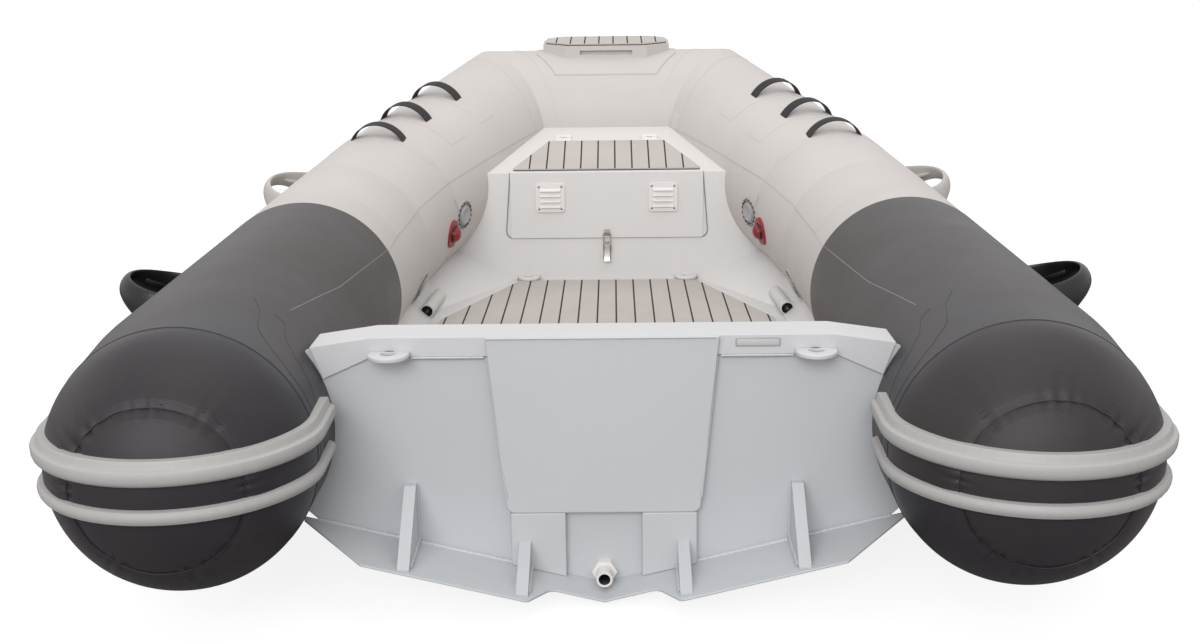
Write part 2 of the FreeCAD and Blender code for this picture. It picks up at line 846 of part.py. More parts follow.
def step_plan(margin):
    """Six-sided plan of the bow step, drawn in by a margin."""
    return both_sides([
        (step_aft_half_width - margin, bow_axis_y - step_aft_reach + margin),
        (step_half_width - margin, bow_axis_y - step_side_aft + margin / 2),
        (step_half_width - margin, bow_axis_y + step_side_fore - margin / 2),
        (step_fore_half_width - margin, bow_axis_y + step_fore_reach - margin),
    ])


def step_layer(low, high):
    """Leaning slab over the bow tube, between two heights above the step's top."""
    reach = 300.0
    lift = reach * math.tan(math.radians(step_lean))
    top = bow_rise + tube_radius + step_height
    return prism_x([
        (bow_axis_y - reach, top - lift + low), (bow_axis_y + reach, top + lift + low),
        (bow_axis_y + reach, top + lift + high), (bow_axis_y - reach, top - lift + high),
    ], reach)


def make_bow_step():
    """Six-sided boarding step on the bow tube, with a slot in its aft face and a welded skirt."""
    top = bow_rise + tube_radius + step_height
    block = prism_z(step_plan(0.0), bow_rise, top + step_blank_height)
    slot_y = bow_axis_y - step_aft_reach
    ceiling = top - step_slot_drop
    ends = (slot_y - step_slot_depth, slot_y + step_slot_depth)
    slot = prism_x([(ends[0], ceiling - step_slot_height), (ends[1], ceiling - step_slot_height),
                    (ends[1], ceiling), (ends[0], ceiling)], step_slot_half_width)
    skirt_length = 2 * (step_half_width + step_skirt_side)
    skirt = Part.makeCylinder(tube_radius + step_skirt, skirt_length, V(-skirt_length / 2, bow_axis_y, bow_rise),
                              V(1, 0, 0))
    sector = prism_z(both_sides([
        (step_aft_half_width + 1.4 * step_skirt_side, bow_axis_y - step_aft_reach - step_skirt_aft),
        (step_half_width + step_skirt_side, bow_axis_y - step_side_aft - step_skirt_side),
        (step_half_width + step_skirt_side, bow_axis_y + step_side_fore + 1.5 * step_skirt_side),
        (step_fore_half_width + 0.5 * step_skirt_side, bow_axis_y + step_fore_reach + step_skirt_fore),
    ]), bow_rise + step_blank_height, top + step_blank_height)
    body = block.cut([step_layer(0.0, tube_radius), slot]).fuse(skirt.common(sector))
    pad = prism_z(step_plan(step_pad_margin), bow_rise, top + step_blank_height).common(step_layer(0.0, foam_thick))
    return clear_of_tubes(body).removeSplitter(), pad


bow_step, bow_step_pad = make_bow_step()
save("bow_step", [bow_step])
save("bow_step_pad", [bow_step_pad])


# Cockpit floor

floor_plan = both_sides([
    (floor_pad_half_width, floor_pad_aft_y),
    (floor_pad_half_width, floor_pad_corner_y),
    (floor_pad_fore_half_width, locker_y - floor_pad_locker_gap),
])
floor_pad = prism_z(floor_plan, -deck_depth, -deck_depth + foam_thick)
upright = [edge for edge in floor_pad.Edges if edge.Length < foam_thick + 0.1]
floor_pad = floor_pad.makeFillet(floor_pad_radius, upright)
save("floor_pad", [floor_pad])

conduit_axis = (V(conduit_root_x, conduit_root_y, -deck_depth + conduit_root_rise),
                V(conduit_mouth_x, conduit_mouth_y, -deck_depth + conduit_radius))
conduit_run = conduit_axis[1] - conduit_axis[0]
conduit_outer = Part.makeCylinder(conduit_radius, conduit_run.Length, conduit_axis[0], conduit_run)
conduit_bore = Part.makeCylinder(conduit_radius - conduit_wall, conduit_bore_length, conduit_axis[1],
                                 conduit_run * -1)
conduit = clear_of_tubes(conduit_outer).cut(conduit_bore)
cheek_and_deck = hull.cut([conduit_outer, mirrored(conduit_outer)])
save("cable_conduits", [conduit, mirrored(conduit)])
save("hull_bottom", [cheek_and_deck])


# Bow locker: a folded front and top, open where the lid closes it

slope_tangent = math.tan(math.radians(lid_slope))
slope_along = V(0, math.cos(math.radians(lid_slope)), math.sin(math.radians(lid_slope)))
slope_up = V(0, -slope_along.z, slope_along.y)
fold = V(0, locker_y, locker_top_z)


def on_slope(along, out):
    """Point (y, z) at a distance up the sloping top from the fold, and out from its skin."""
    point = fold + slope_along * along + slope_up * out
    return point.y, point.z


def folded_sheet(outer, thick, foot_z, reach):
    """Side outline of a sheet folded over the locker's edge, its outer skin a distance outside it."""
    inner = outer - thick
    outside = (locker_y - outer, locker_top_z + outer * (1 / slope_along.y - slope_tangent))
    inside = (locker_y - inner, locker_top_z + inner * (1 / slope_along.y - slope_tangent))
    return [
        (locker_y - outer, foot_z), outside, on_slope(reach, outer),
        on_slope(reach, inner), inside, (locker_y - inner, foot_z),
    ]


def along_slope(shape):
    """Tip a shape drawn flat at the fold, y forward, into the sloping top."""
    turn = FreeCAD.Rotation(V(1, 0, 0), lid_slope)
    shape.Placement = FreeCAD.Placement(fold, turn).multiply(shape.Placement)
    return shape


def make_locker():
    """Front and top of the locker, let in between the tubes."""
    sheet = prism_x(folded_sheet(0.0, panel, -deck_depth, 420.0), stern_axis_x)
    sheet = clear_of_tubes(sheet).cut(cheek_and_deck)
    sheet = max(sheet.Solids, key=lambda solid: solid.Volume)
    rim = lid_rim_overlap
    foot = locker_top_z - lid_front_height + rim
    front_hole = prism_y(both_sides([(lid_foot_half_width - rim, foot), (lid_half_width - rim, locker_top_z + 40)]),
                         locker_y - 30, locker_y + panel + 1)
    top_plan = both_sides([(lid_half_width - rim, -1.0), (lid_rear_half_width - rim, lid_depth - rim)])
    top_hole = along_slope(prism_z(top_plan, -60.0, 60.0))
    limber = Part.makeCylinder(limber_radius, 60, V(cheek_toe_x - 16, locker_y - 30, -deck_depth), V(0, 1, 0))
    return sheet.cut([front_hole, top_hole, limber, mirrored(limber)])


def make_lid():
    """Lid of the locker: a folded panel with rounded lower corners, lying just outside the box."""
    outer = lid_gap + plate
    sheet = prism_x(folded_sheet(outer, plate, locker_top_z - lid_front_height, lid_depth), stern_axis_x)
    edge = [e for e in sheet.Edges if abs(e.CenterOfMass.y - (locker_y - outer)) < 0.1
            and abs(e.CenterOfMass.z - locker_top_z) < 2 * outer and abs(e.CenterOfMass.x) < 1]
    sheet = sheet.makeFillet(3.5, edge)
    front = prism_y(both_sides([(lid_foot_half_width, locker_top_z - lid_front_height),
                                (lid_half_width, locker_top_z + 300)]), locker_y - 60, locker_y + 400)
    corners = [e for e in front.Edges if abs(e.CenterOfMass.z - (locker_top_z - lid_front_height)) < 1
               and abs(e.Length - 460) < 1]
    front = front.makeFillet(lid_corner_radius, corners)
    plan = along_slope(prism_z(both_sides([(lid_half_width, -80.0), (lid_half_width, 0.0),
                                           (lid_rear_half_width, lid_depth)]), -400.0, 60.0))
    return sheet.common(front).common(plan)


def make_lid_pad():
    """Foam tread on the top of the lid."""
    inset = 9.0
    pad_plan = both_sides([(lid_half_width - inset - 2, inset - 4), (lid_rear_half_width - inset, lid_depth - 26)])
    base = lid_gap + plate
    return along_slope(prism_z(pad_plan, base, base + foam_thick))


def make_vent(x):
    """Louvred vent let into the front of the lid."""
    z = locker_top_z - vent_below_top
    skin = locker_y - lid_gap - plate
    half = vent_size / 2
    frame = Part.makeBox(vent_size, 6, vent_size, V(x - half, skin - 6, z - half))
    upright = [e for e in frame.Edges if abs(e.Length - 6) < 0.1]
    frame = frame.makeFillet(10.0, upright)
    for step in range(4):
        low = z - half + 13 + step * 15
        slot = Part.makeBox(vent_size - 24, 20, 7, V(x - half + 12, skin - 12, low))
        frame = frame.cut(slot)
        slat = prism_x([(skin, low + 9), (skin - 12, low), (skin - 12, low + 2), (skin - 3, low + 11),
                        (skin, low + 11)], (vent_size - 24) / 2)
        slat.translate(V(x, 0, 0))
        frame = frame.fuse(slat)
    return frame.removeSplitter()


def hinge_pieces(x):
    """Fixed leaf with its pin and middle knuckle, and moving leaf with two outer knuckles."""
    pin_along = lid_depth + 9.0
    pin_out = lid_gap + plate + hinge_pin_radius
    third = hinge_length / 3
    gap = 0.3

    def barrel(start, length, radius):
        return Part.makeCylinder(radius, length, V(x + start, pin_along, pin_out), V(1, 0, 0))

    fixed_leaf = Part.makeBox(hinge_length, 26, 3, V(x - hinge_length / 2, pin_along + 6, 0))
    web = Part.makeBox(third - 2 * gap, 12, pin_out, V(x - third / 2 + gap, pin_along, 0))
    fixed = fixed_leaf.fuse([web, barrel(-third / 2 + gap, third - 2 * gap, hinge_pin_radius)])
    pin = barrel(-hinge_length / 2, hinge_length, hinge_pin_radius * 0.45)
    fixed = fixed.fuse(pin).removeSplitter()
    moving_leaf = Part.makeBox(hinge_length, 26, 3, V(x - hinge_length / 2, pin_along - 32, lid_gap + plate))
    moving = moving_leaf
    for start in (-hinge_length / 2, third / 2 + gap):
        length = third - gap
        arm = Part.makeBox(length, 10, 3, V(x + start, pin_along - 10, lid_gap + plate))
        moving = moving.fuse([arm, barrel(start, length, hinge_pin_radius)])
    moving = moving.cut(barrel(-hinge_length / 2 - 1, hinge_length + 2, hinge_pin_radius * 0.45 + 0.2))
    return along_slope(fixed), along_slope(moving.removeSplitter())


def make_latch():
    """Over-centre latch: base and lever on the locker front, catch and bail on the lid."""
    lid_skin = locker_y - lid_gap - plate
    foot = locker_top_z - lid_front_height
    half = latch_width / 2
    base = Part.makeBox(latch_width, 3, 52, V(-half, locker_y - 3, foot - 62))
    ears = [Part.makeBox(2, 14, 22, V(x, locker_y - 14, foot - 38)) for x in (-half, half - 2)]
    lever = prism_x([(locker_y - 3, foot - 20), (locker_y - 12, foot - 22), (locker_y - 14, foot - 50),
                     (locker_y - 20, foot - 64), (locker_y - 17, foot - 64), (locker_y - 10, foot - 52),
                     (locker_y - 3, foot - 40)], half - 3)
    base = base.fuse(ears + [lever]).removeSplitter()
    catch = prism_x([(lid_skin, foot + 6), (lid_skin, foot + 24), (lid_skin - 3, foot + 24), (lid_skin - 3, foot + 16),
                     (lid_skin - 12, foot + 20), (lid_skin - 12, foot + 14), (lid_skin - 3, foot + 6)], half - 3)
    bail = Part.makeBox(latch_width, 3, 3, V(-half, lid_skin - 10, foot + 11))
    for x in (-half, half - 3):
        bail = bail.fuse(Part.makeBox(3, 3, 24, V(x, lid_skin - 10, foot - 10)))
    return base, catch.fuse(bail).removeSplitter()


locker = make_locker()
save("locker_box", [locker])
save("locker_lid", [make_lid()])
save("lid_pad", [make_lid_pad()])
save("lid_vents", [make_vent(-vent_x), make_vent(vent_x)])
fixed_leaves, moving_leaves = zip(*[hinge_pieces(side * hinge_x) for side in (-1, 1)])
save("hinge_leaves_fixed", fixed_leaves)
save("hinge_leaves_lid", moving_leaves)
latch_base, latch_catch = make_latch()
save("latch_base", [latch_base])
save("latch_catch", [latch_catch])

floor_eyes = []
for side in (-1, 1):
    eye = eye_plate(floor_eye_radius, floor_eye_hole, eye_thick, floor_eye_root)
    eye.translate(V(side * floor_eye_x, locker_y, -deck_depth + foam_thick))
    floor_eyes.append(eye)
save("floor_eyes", floor_eyes)
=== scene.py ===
"""Looks of a small inflatable boat with a rigid V hull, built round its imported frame.

Lengths are in metres in the part's frame: x to starboard, y to the bow, z up from the waterline.
"""

import logging
import math
from dataclasses import dataclass
from enum import Enum
from typing import Iterable, Sequence

import bmesh
import bpy
from mathutils import Matrix, Vector, noise


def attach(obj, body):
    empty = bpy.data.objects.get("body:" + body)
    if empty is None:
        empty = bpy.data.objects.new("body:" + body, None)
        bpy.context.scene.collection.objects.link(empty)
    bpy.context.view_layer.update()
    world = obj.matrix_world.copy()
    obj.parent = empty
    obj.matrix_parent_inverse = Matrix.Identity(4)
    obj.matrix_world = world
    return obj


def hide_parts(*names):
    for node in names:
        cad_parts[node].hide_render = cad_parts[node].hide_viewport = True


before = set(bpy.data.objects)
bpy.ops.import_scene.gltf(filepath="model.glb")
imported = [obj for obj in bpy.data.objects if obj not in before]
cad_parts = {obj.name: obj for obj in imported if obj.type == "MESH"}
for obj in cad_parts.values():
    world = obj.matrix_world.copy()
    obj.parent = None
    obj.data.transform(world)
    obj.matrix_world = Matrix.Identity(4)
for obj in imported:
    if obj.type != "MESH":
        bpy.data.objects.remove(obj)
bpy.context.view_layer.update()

Outline = Sequence[tuple[float, float]]

log = logging.getLogger("boat")
HULL = "hull"
LID = "locker_lid"
MIDSHIP = 1.058
FLOAT_DEPTH = 0.180
SIDES = {1: "starboard", -1: "port"}
STARBOARD = Vector((1, 0, 0))
BOW = Vector((0, 1, 0))
UP = Vector((0, 0, 1))


def at(x: float, y: float, z: float) -> Vector:
    """Point for a place x off the centreline, y ahead of the transom and z over the stern axis."""
    return Vector((x, y - MIDSHIP, z + FLOAT_DEPTH))


def axes(origin: Vector, x: Vector, y: Vector, z: Vector) -> Matrix:
    """Matrix that puts a shape drawn about the world origin on three axes.

    Args:
        origin: Where the world origin goes.
        x: What the shape's x turns into, with the scale along it as its length.
        y: The same for its y.
        z: The same for its z.

    Returns:
        The matrix.
    """
    matrix = Matrix((x, y, z)).transposed().to_4x4()
    matrix.translation = origin
    return matrix


def facing_astern(x: float, y: float, z: float) -> Matrix:
    """Frame on an upright face that looks astern, with its x to starboard and its y up."""
    return axes(at(x, y, z), STARBOARD, UP, -BOW)


def sloping(y: float, z: float, slope: float) -> Matrix:
    """Frame on the centreline with its x to starboard and its y forward, up a slope.

    Args:
        y: Distance ahead of the transom.
        z: Height over the stern axis.
        slope: Slope in degrees.

    Returns:
        The frame.
    """
    turn = math.radians(slope)
    along = Vector((0, math.cos(turn), math.sin(turn)))
    return axes(at(0, y, z), STARBOARD, along, STARBOARD.cross(along))


def outboard(along: Vector) -> Vector:
    """Level direction square to a heading, to its starboard side."""
    return Vector((along.y, -along.x, 0)).normalized()


def directions(points: Sequence[Vector]) -> list[Vector]:
    """Headings along a chain of points.

    Args:
        points: Points of the chain in order.

    Returns:
        A unit vector at each point, from the one behind it to the one ahead.
    """
    last = len(points) - 1
    spans = [(max(index - 1, 0), min(index + 1, last)) for index in range(last + 1)]
    return [(points[ahead] - points[behind]).normalized() for behind, ahead in spans]


def arc_radius(half_chord: float, rise: float) -> float:
    """Radius of an arc that rises this much over its chord."""
    return (half_chord ** 2 + rise ** 2) / (2 * rise)


def only(items: Iterable, kind: type) -> list:
    """Mesh parts of one kind."""
    return [item for item in items if isinstance(item, kind)]


def srgb(red: int, green: int, blue: int) -> tuple[float, float, float, float]:
    """Linear colour of a display colour given as 0 to 255.

    Args:
        red: Red part.
        green: Green part.
        blue: Blue part.

    Returns:
        The linear red, green, blue and an alpha of one.
    """
    parts = []
    for value in (red, green, blue):
        share = value / 255.0
        # The two pieces of the standard display curve.
        parts.append(share / 12.92 if share <= 0.04045 else ((share + 0.055) / 1.055) ** 2.4)
    return parts[0], parts[1], parts[2], 1.0


def rectangle(half_width: float, low: float, high: float) -> Outline:
    """Corners of a rectangle with its middle at zero across."""
    return [(-half_width, low), (half_width, low), (half_width, high), (-half_width, high)]


def both_sides(half: Outline) -> Outline:
    """Outline that is alike to port and starboard, from its starboard corners."""
    return list(half) + [(-x, y) for x, y in reversed(half)]


def rounded(corners: Outline, radius: float, steps: int = 4) -> Outline:
    """Outline of a polygon with its corners turned into arcs.

    Args:
        corners: Corners of the polygon in order.
        radius: Radius of each arc, cut down where a side is short.
        steps: Straight pieces in each arc.

    Returns:
        Points of the rounded outline.
    """
    most_of_side = 0.45
    outline = []
    for index, corner in enumerate(corners):
        point = Vector(corner)
        back = Vector(corners[index - 1]) - point
        ahead = Vector(corners[(index + 1) % len(corners)]) - point
        reach = radius / math.tan(back.angle(ahead) / 2)
        reach = min(reach, most_of_side * back.length, most_of_side * ahead.length)
        start = point + back.normalized() * reach
        end = point + ahead.normalized() * reach
        for step in range(steps + 1):
            share = step / steps
            near = start.lerp(point, share)
            far = point.lerp(end, share)
            outline.append(tuple(near.lerp(far, share)))
    return outline


class Form:
    """A mesh in the making, shaped with bmesh operators.

    Attributes:
        MERGE: Distance under which new corners become one.
        CAD_MERGE: The same in the copy of a CAD node.
        CAD_FLAT: Angle in degrees under which the copy's faces become one.
        CAD_CREASE: Angle in degrees over which the copy's edges are softened.
        PLATE_CREASE: Angle in radians over which a plate's edges are softened.
    """

    MERGE = 1e-6
    CAD_MERGE = 2e-5
    CAD_FLAT = 0.5
    CAD_CREASE = 28.0
    PLATE_CREASE = 0.6

    def __init__(self) -> None:
        """Start with nothing."""
        self.mesh = bmesh.new()

    def sweep(self, outline: Outline, frames: Sequence[Matrix]) -> None:
        """Draw an outline along a row of frames and close both ends.

        Args:
            outline: Points in each frame's y and z.
            frames: Where the outline stands, one matrix a station.
        """
        corners = [self.mesh.verts.new(frames[0] @ Vector((0.0, y, z))) for y, z in outline]
        self._extend(self.mesh.faces.new(corners), frames)

    def sweep_circle(self, frames: Sequence[Matrix], count: int) -> list[list[bmesh.types.BMVert]]:
        """Draw a unit circle, in each frame's x and y, along a row of frames.

        Args:
            frames: Where the circle stands, with its radius in the matrix.
            count: Corners round the circle.

        Returns:
            The corners of each ring, in order along the row.
        """
        made = bmesh.ops.create_circle(self.mesh, cap_ends=True, segments=count, radius=1.0,
                                       matrix=frames[0])
        return self._extend(made["verts"][0].link_faces[0], frames)

    def _extend(self, face: bmesh.types.BMFace, frames: Sequence[Matrix]) -> list[list[bmesh.types.BMVert]]:
        """Extrude a face along a row of frames.

        Args:
            face: Face that stands at the first frame.
            frames: Where it stands in turn.

        Returns:
            The corners of each ring, in order along the row.
        """
        rings = [list(face.verts)]
        for before, after in zip(frames, frames[1:]):
            grown = bmesh.ops.extrude_face_region(self.mesh, geom=[face])["geom"]
            fresh = only(grown, bmesh.types.BMVert)
            face = only(grown, bmesh.types.BMFace)[0]
            bmesh.ops.transform(self.mesh, matrix=after @ before.inverted(), verts=fresh)
            rings.append(list(face.verts))
        return rings

    def turned(self, profile: Outline, place: Matrix, steps: int = 48, material: int = 0) -> None:
        """Turn a profile of radius and height round the z axis of a place.

        Args:
            profile: Radius and height of each point, from the axis out and back to it.
            place: Frame of the turned shape.
            steps: Steps of the full turn.
            material: Material slot of the new faces.
        """
        known = set(self.mesh.faces)
        chain = [self.mesh.verts.new((radius, 0.0, height)) for radius, height in profile]
        edges = [self.mesh.edges.new(pair) for pair in zip(chain, chain[1:])]
        bmesh.ops.spin(self.mesh, geom=chain + edges, cent=(0, 0, 0), axis=(0, 0, 1), angle=math.tau,
                       steps=steps, use_merge=True)
        self._place_fresh(known, place, material)

    def plate(self, outline: Outline, low: float, high: float, place: Matrix, bevel: float = 0.0,
              material: int = 0) -> None:
        """Prism of an outline in the x and y of a place, with softened edges.

        Args:
            outline: Corners of the outline.
            low: Height of its foot.
            high: Height of its top.
            place: Frame that it stands in.
            bevel: Width of the softened edges.
            material: Material slot of the new faces.
        """
        known = set(self.mesh.faces)
        face = self.mesh.faces.new([self.mesh.verts.new((x, y, low)) for x, y in outline])
        grown = bmesh.ops.extrude_face_region(self.mesh, geom=[face])["geom"]
        bmesh.ops.translate(self.mesh, vec=(0, 0, high - low), verts=only(grown, bmesh.types.BMVert))
        if bevel:
            fresh = [item for item in self.mesh.faces if item not in known]
            edges = {edge for item in fresh for edge in item.edges}
            self.bevel([edge for edge in edges if edge.calc_face_angle(0.0) > self.PLATE_CREASE], bevel)
        self._place_fresh(known, place, material)

    def _place_fresh(self, known: set, place: Matrix, material: int) -> None:
        """Colour the faces that aren't known yet, face them outwards and move them to their place.

        Args:
            known: Faces that were there before.
            place: Frame that the others move to.
            material: Material slot that they get.
        """
        faces = [face for face in self.mesh.faces if face not in known]
        corners = list({corner for face in faces for corner in face.verts})
        bmesh.ops.remove_doubles(self.mesh, verts=corners, dist=self.MERGE)
        faces = [face for face in faces if face.is_valid]
        corners = list({corner for face in faces for corner in face.verts})
        for face in faces:
            face.material_index = material
        bmesh.ops.recalc_face_normals(self.mesh, faces=faces)
        bmesh.ops.transform(self.mesh, matrix=place, verts=corners)

    def bead(self, start: Vector, end: Vector, radius: float, seed: float, pitch: float = 0.0055) -> None:
        """Weld bead along a straight seam: a row of overlapping ripples.

        Args:
            start: Where the seam starts.
            end: Where it ends.
            radius: Mean radius of the bead.
            seed: Shift of its unevenness.
            pitch: Length of one ripple.
        """
        stations_a_ripple, corners = 2.5, 8
        trough, unevenness, swells_a_metre = 0.78, 0.2, 40
        run = end - start
        heading = run.normalized()
        side = heading.orthogonal().normalized()
        spacing = pitch / stations_a_ripple
        count = max(2, int(run.length / spacing))
        frames = []
        travelled = 0.0
        for step in range(count):
            travelled += run.length / count
            ripple = abs(math.sin(math.pi * travelled / pitch))
            swell = 1 + unevenness * noise.noise(Vector((travelled * swells_a_metre, seed, 0)))
            size = radius * swell * (trough + (1 - trough) * ripple)
            origin = start.lerp(end, step / count)
            frames.append(axes(origin, side * size, heading.cross(side) * size, heading))
        self.sweep_circle(frames, corners)

    def copy_node(self, node: str) -> None:
        """Take in a merged copy of a CAD node's surface.

        Args:
            node: Name of the node.
        """
        self.mesh.from_mesh(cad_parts[node].data)
        bmesh.ops.remove_doubles(self.mesh, verts=self.mesh.verts, dist=self.CAD_MERGE)
        bmesh.ops.dissolve_limit(self.mesh, angle_limit=math.radians(self.CAD_FLAT), verts=self.mesh.verts,
                                 edges=self.mesh.edges)

    def bevel(self, edges: Iterable[bmesh.types.BMEdge], width: float, segments: int = 2) -> None:
        """Round some edges."""
        bmesh.ops.bevel(self.mesh, geom=list(edges), offset=width, offset_type="OFFSET", segments=segments,
                        profile=0.5, affect="EDGES", material=-1, clamp_overlap=True)

    def soften(self, width: float, segments: int = 2) -> None:
        """Round every crease of a CAD node's copy.

        Args:
            width: Width of the rounding.
            segments: Flat strips that make it up.
        """
        least = math.radians(self.CAD_CREASE)
        solid = [edge for edge in self.mesh.edges if edge.is_manifold]
        self.bevel([edge for edge in solid if edge.calc_face_angle(0.0) > least], width, segments)

    def mirror_over(self) -> None:
        """Add the mirror image of everything on the other side of the centreline."""
        every = self.mesh.verts[:] + self.mesh.edges[:] + self.mesh.faces[:]
        copied = bmesh.ops.duplicate(self.mesh, geom=every)["geom"]
        bmesh.ops.scale(self.mesh, vec=(-1, 1, 1), verts=only(copied, bmesh.types.BMVert))
        bmesh.ops.reverse_faces(self.mesh, faces=only(copied, bmesh.types.BMFace))

    def flip_over(self) -> None:
        """Move everything to the other side of the centreline."""
        bmesh.ops.scale(self.mesh, vec=(-1, 1, 1), verts=self.mesh.verts)
        bmesh.ops.reverse_faces(self.mesh, faces=self.mesh.faces)

    def finish(self, name: str, finishes: Sequence["Finish"], body: str = HULL,
               stands_for: Sequence[str] = (), crease: float = 35.0,
               flat_sided: bool = False) -> bpy.types.Object:
        """Turn the mesh into a named piece that rides on a body.

        Args:
            name: Name of the piece.
            finishes: Finish of each material slot in order.
            body: CAD body that carries the piece.
            stands_for: CAD nodes that the piece replaces.
            crease: Angle in degrees above which an edge stays sharp.
            flat_sided: Whether its large faces keep an even shade beside their soft edges.

        Returns:
            The new object.
        """
        bmesh.ops.recalc_face_normals(self.mesh, faces=self.mesh.faces)
        data = bpy.data.meshes.new(name)
        self.mesh.to_mesh(data)
        self.mesh.free()
        for face in data.polygons:
            face.use_smooth = True
        data.set_sharp_from_angle(angle=math.radians(crease))
        piece = bpy.data.objects.new(name, data)
        bpy.context.scene.collection.objects.link(piece)
        for finish in finishes:
            data.materials.append(finish.material())
        if flat_sided:
            shade = piece.modifiers.new("even shade", "WEIGHTED_NORMAL")
            shade.keep_sharp = True
        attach(piece, body)
        if stands_for:
            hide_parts(*stands_for)
        log.info("%s: %d faces on %s", name, len(data.polygons), body)
        return piece


class Texture(Enum):
    """Kinds of fine surface that a finish can have."""

    FABRIC = "coated fabric"
    MOULDED = "moulded"
    POWDER = "powder coat"
    FOAM = "brushed foam"
    WOVEN = "woven tape"
    BRUSHED = "brushed metal"


def coordinate_mapping(tree: bpy.types.NodeTree, scale: tuple[float, float, float]) -> bpy.types.NodeSocket:
    """Object coordinates scaled on each axis, for use inside a node group.

    Args:
        tree: Node tree of the group.
        scale: Scale along x, y and z.

    Returns:
        The socket with the scaled coordinates.
    """
    places = tree.nodes.new("ShaderNodeTexCoord")
    mapping = tree.nodes.new("ShaderNodeMapping")
    mapping.inputs["Scale"].default_value = scale
    tree.links.new(places.outputs["Object"], mapping.inputs["Vector"])
    return mapping.outputs["Vector"]


def calculated(tree: bpy.types.NodeTree, operation: str, *terms: object) -> bpy.types.NodeSocket:
    """Result of a sum on sockets and plain numbers.

    Args:
        tree: Node tree that takes the sum.
        operation: Kind of sum.
        terms: Its terms in order, each a socket or a number.

    Returns:
        The socket with the result.
    """
    node = tree.nodes.new("ShaderNodeMath")
    node.operation = operation
    for socket, term in zip(node.inputs, terms):
        if isinstance(term, bpy.types.NodeSocket):
            tree.links.new(term, socket)
        else:
            socket.default_value = term
    return node.outputs[0]


def fill_in(node: bpy.types.Node, values: dict[str, object]) -> None:
    """Set the named inputs of a node."""
    for label, value in values.items():
        node.inputs[label].default_value = value


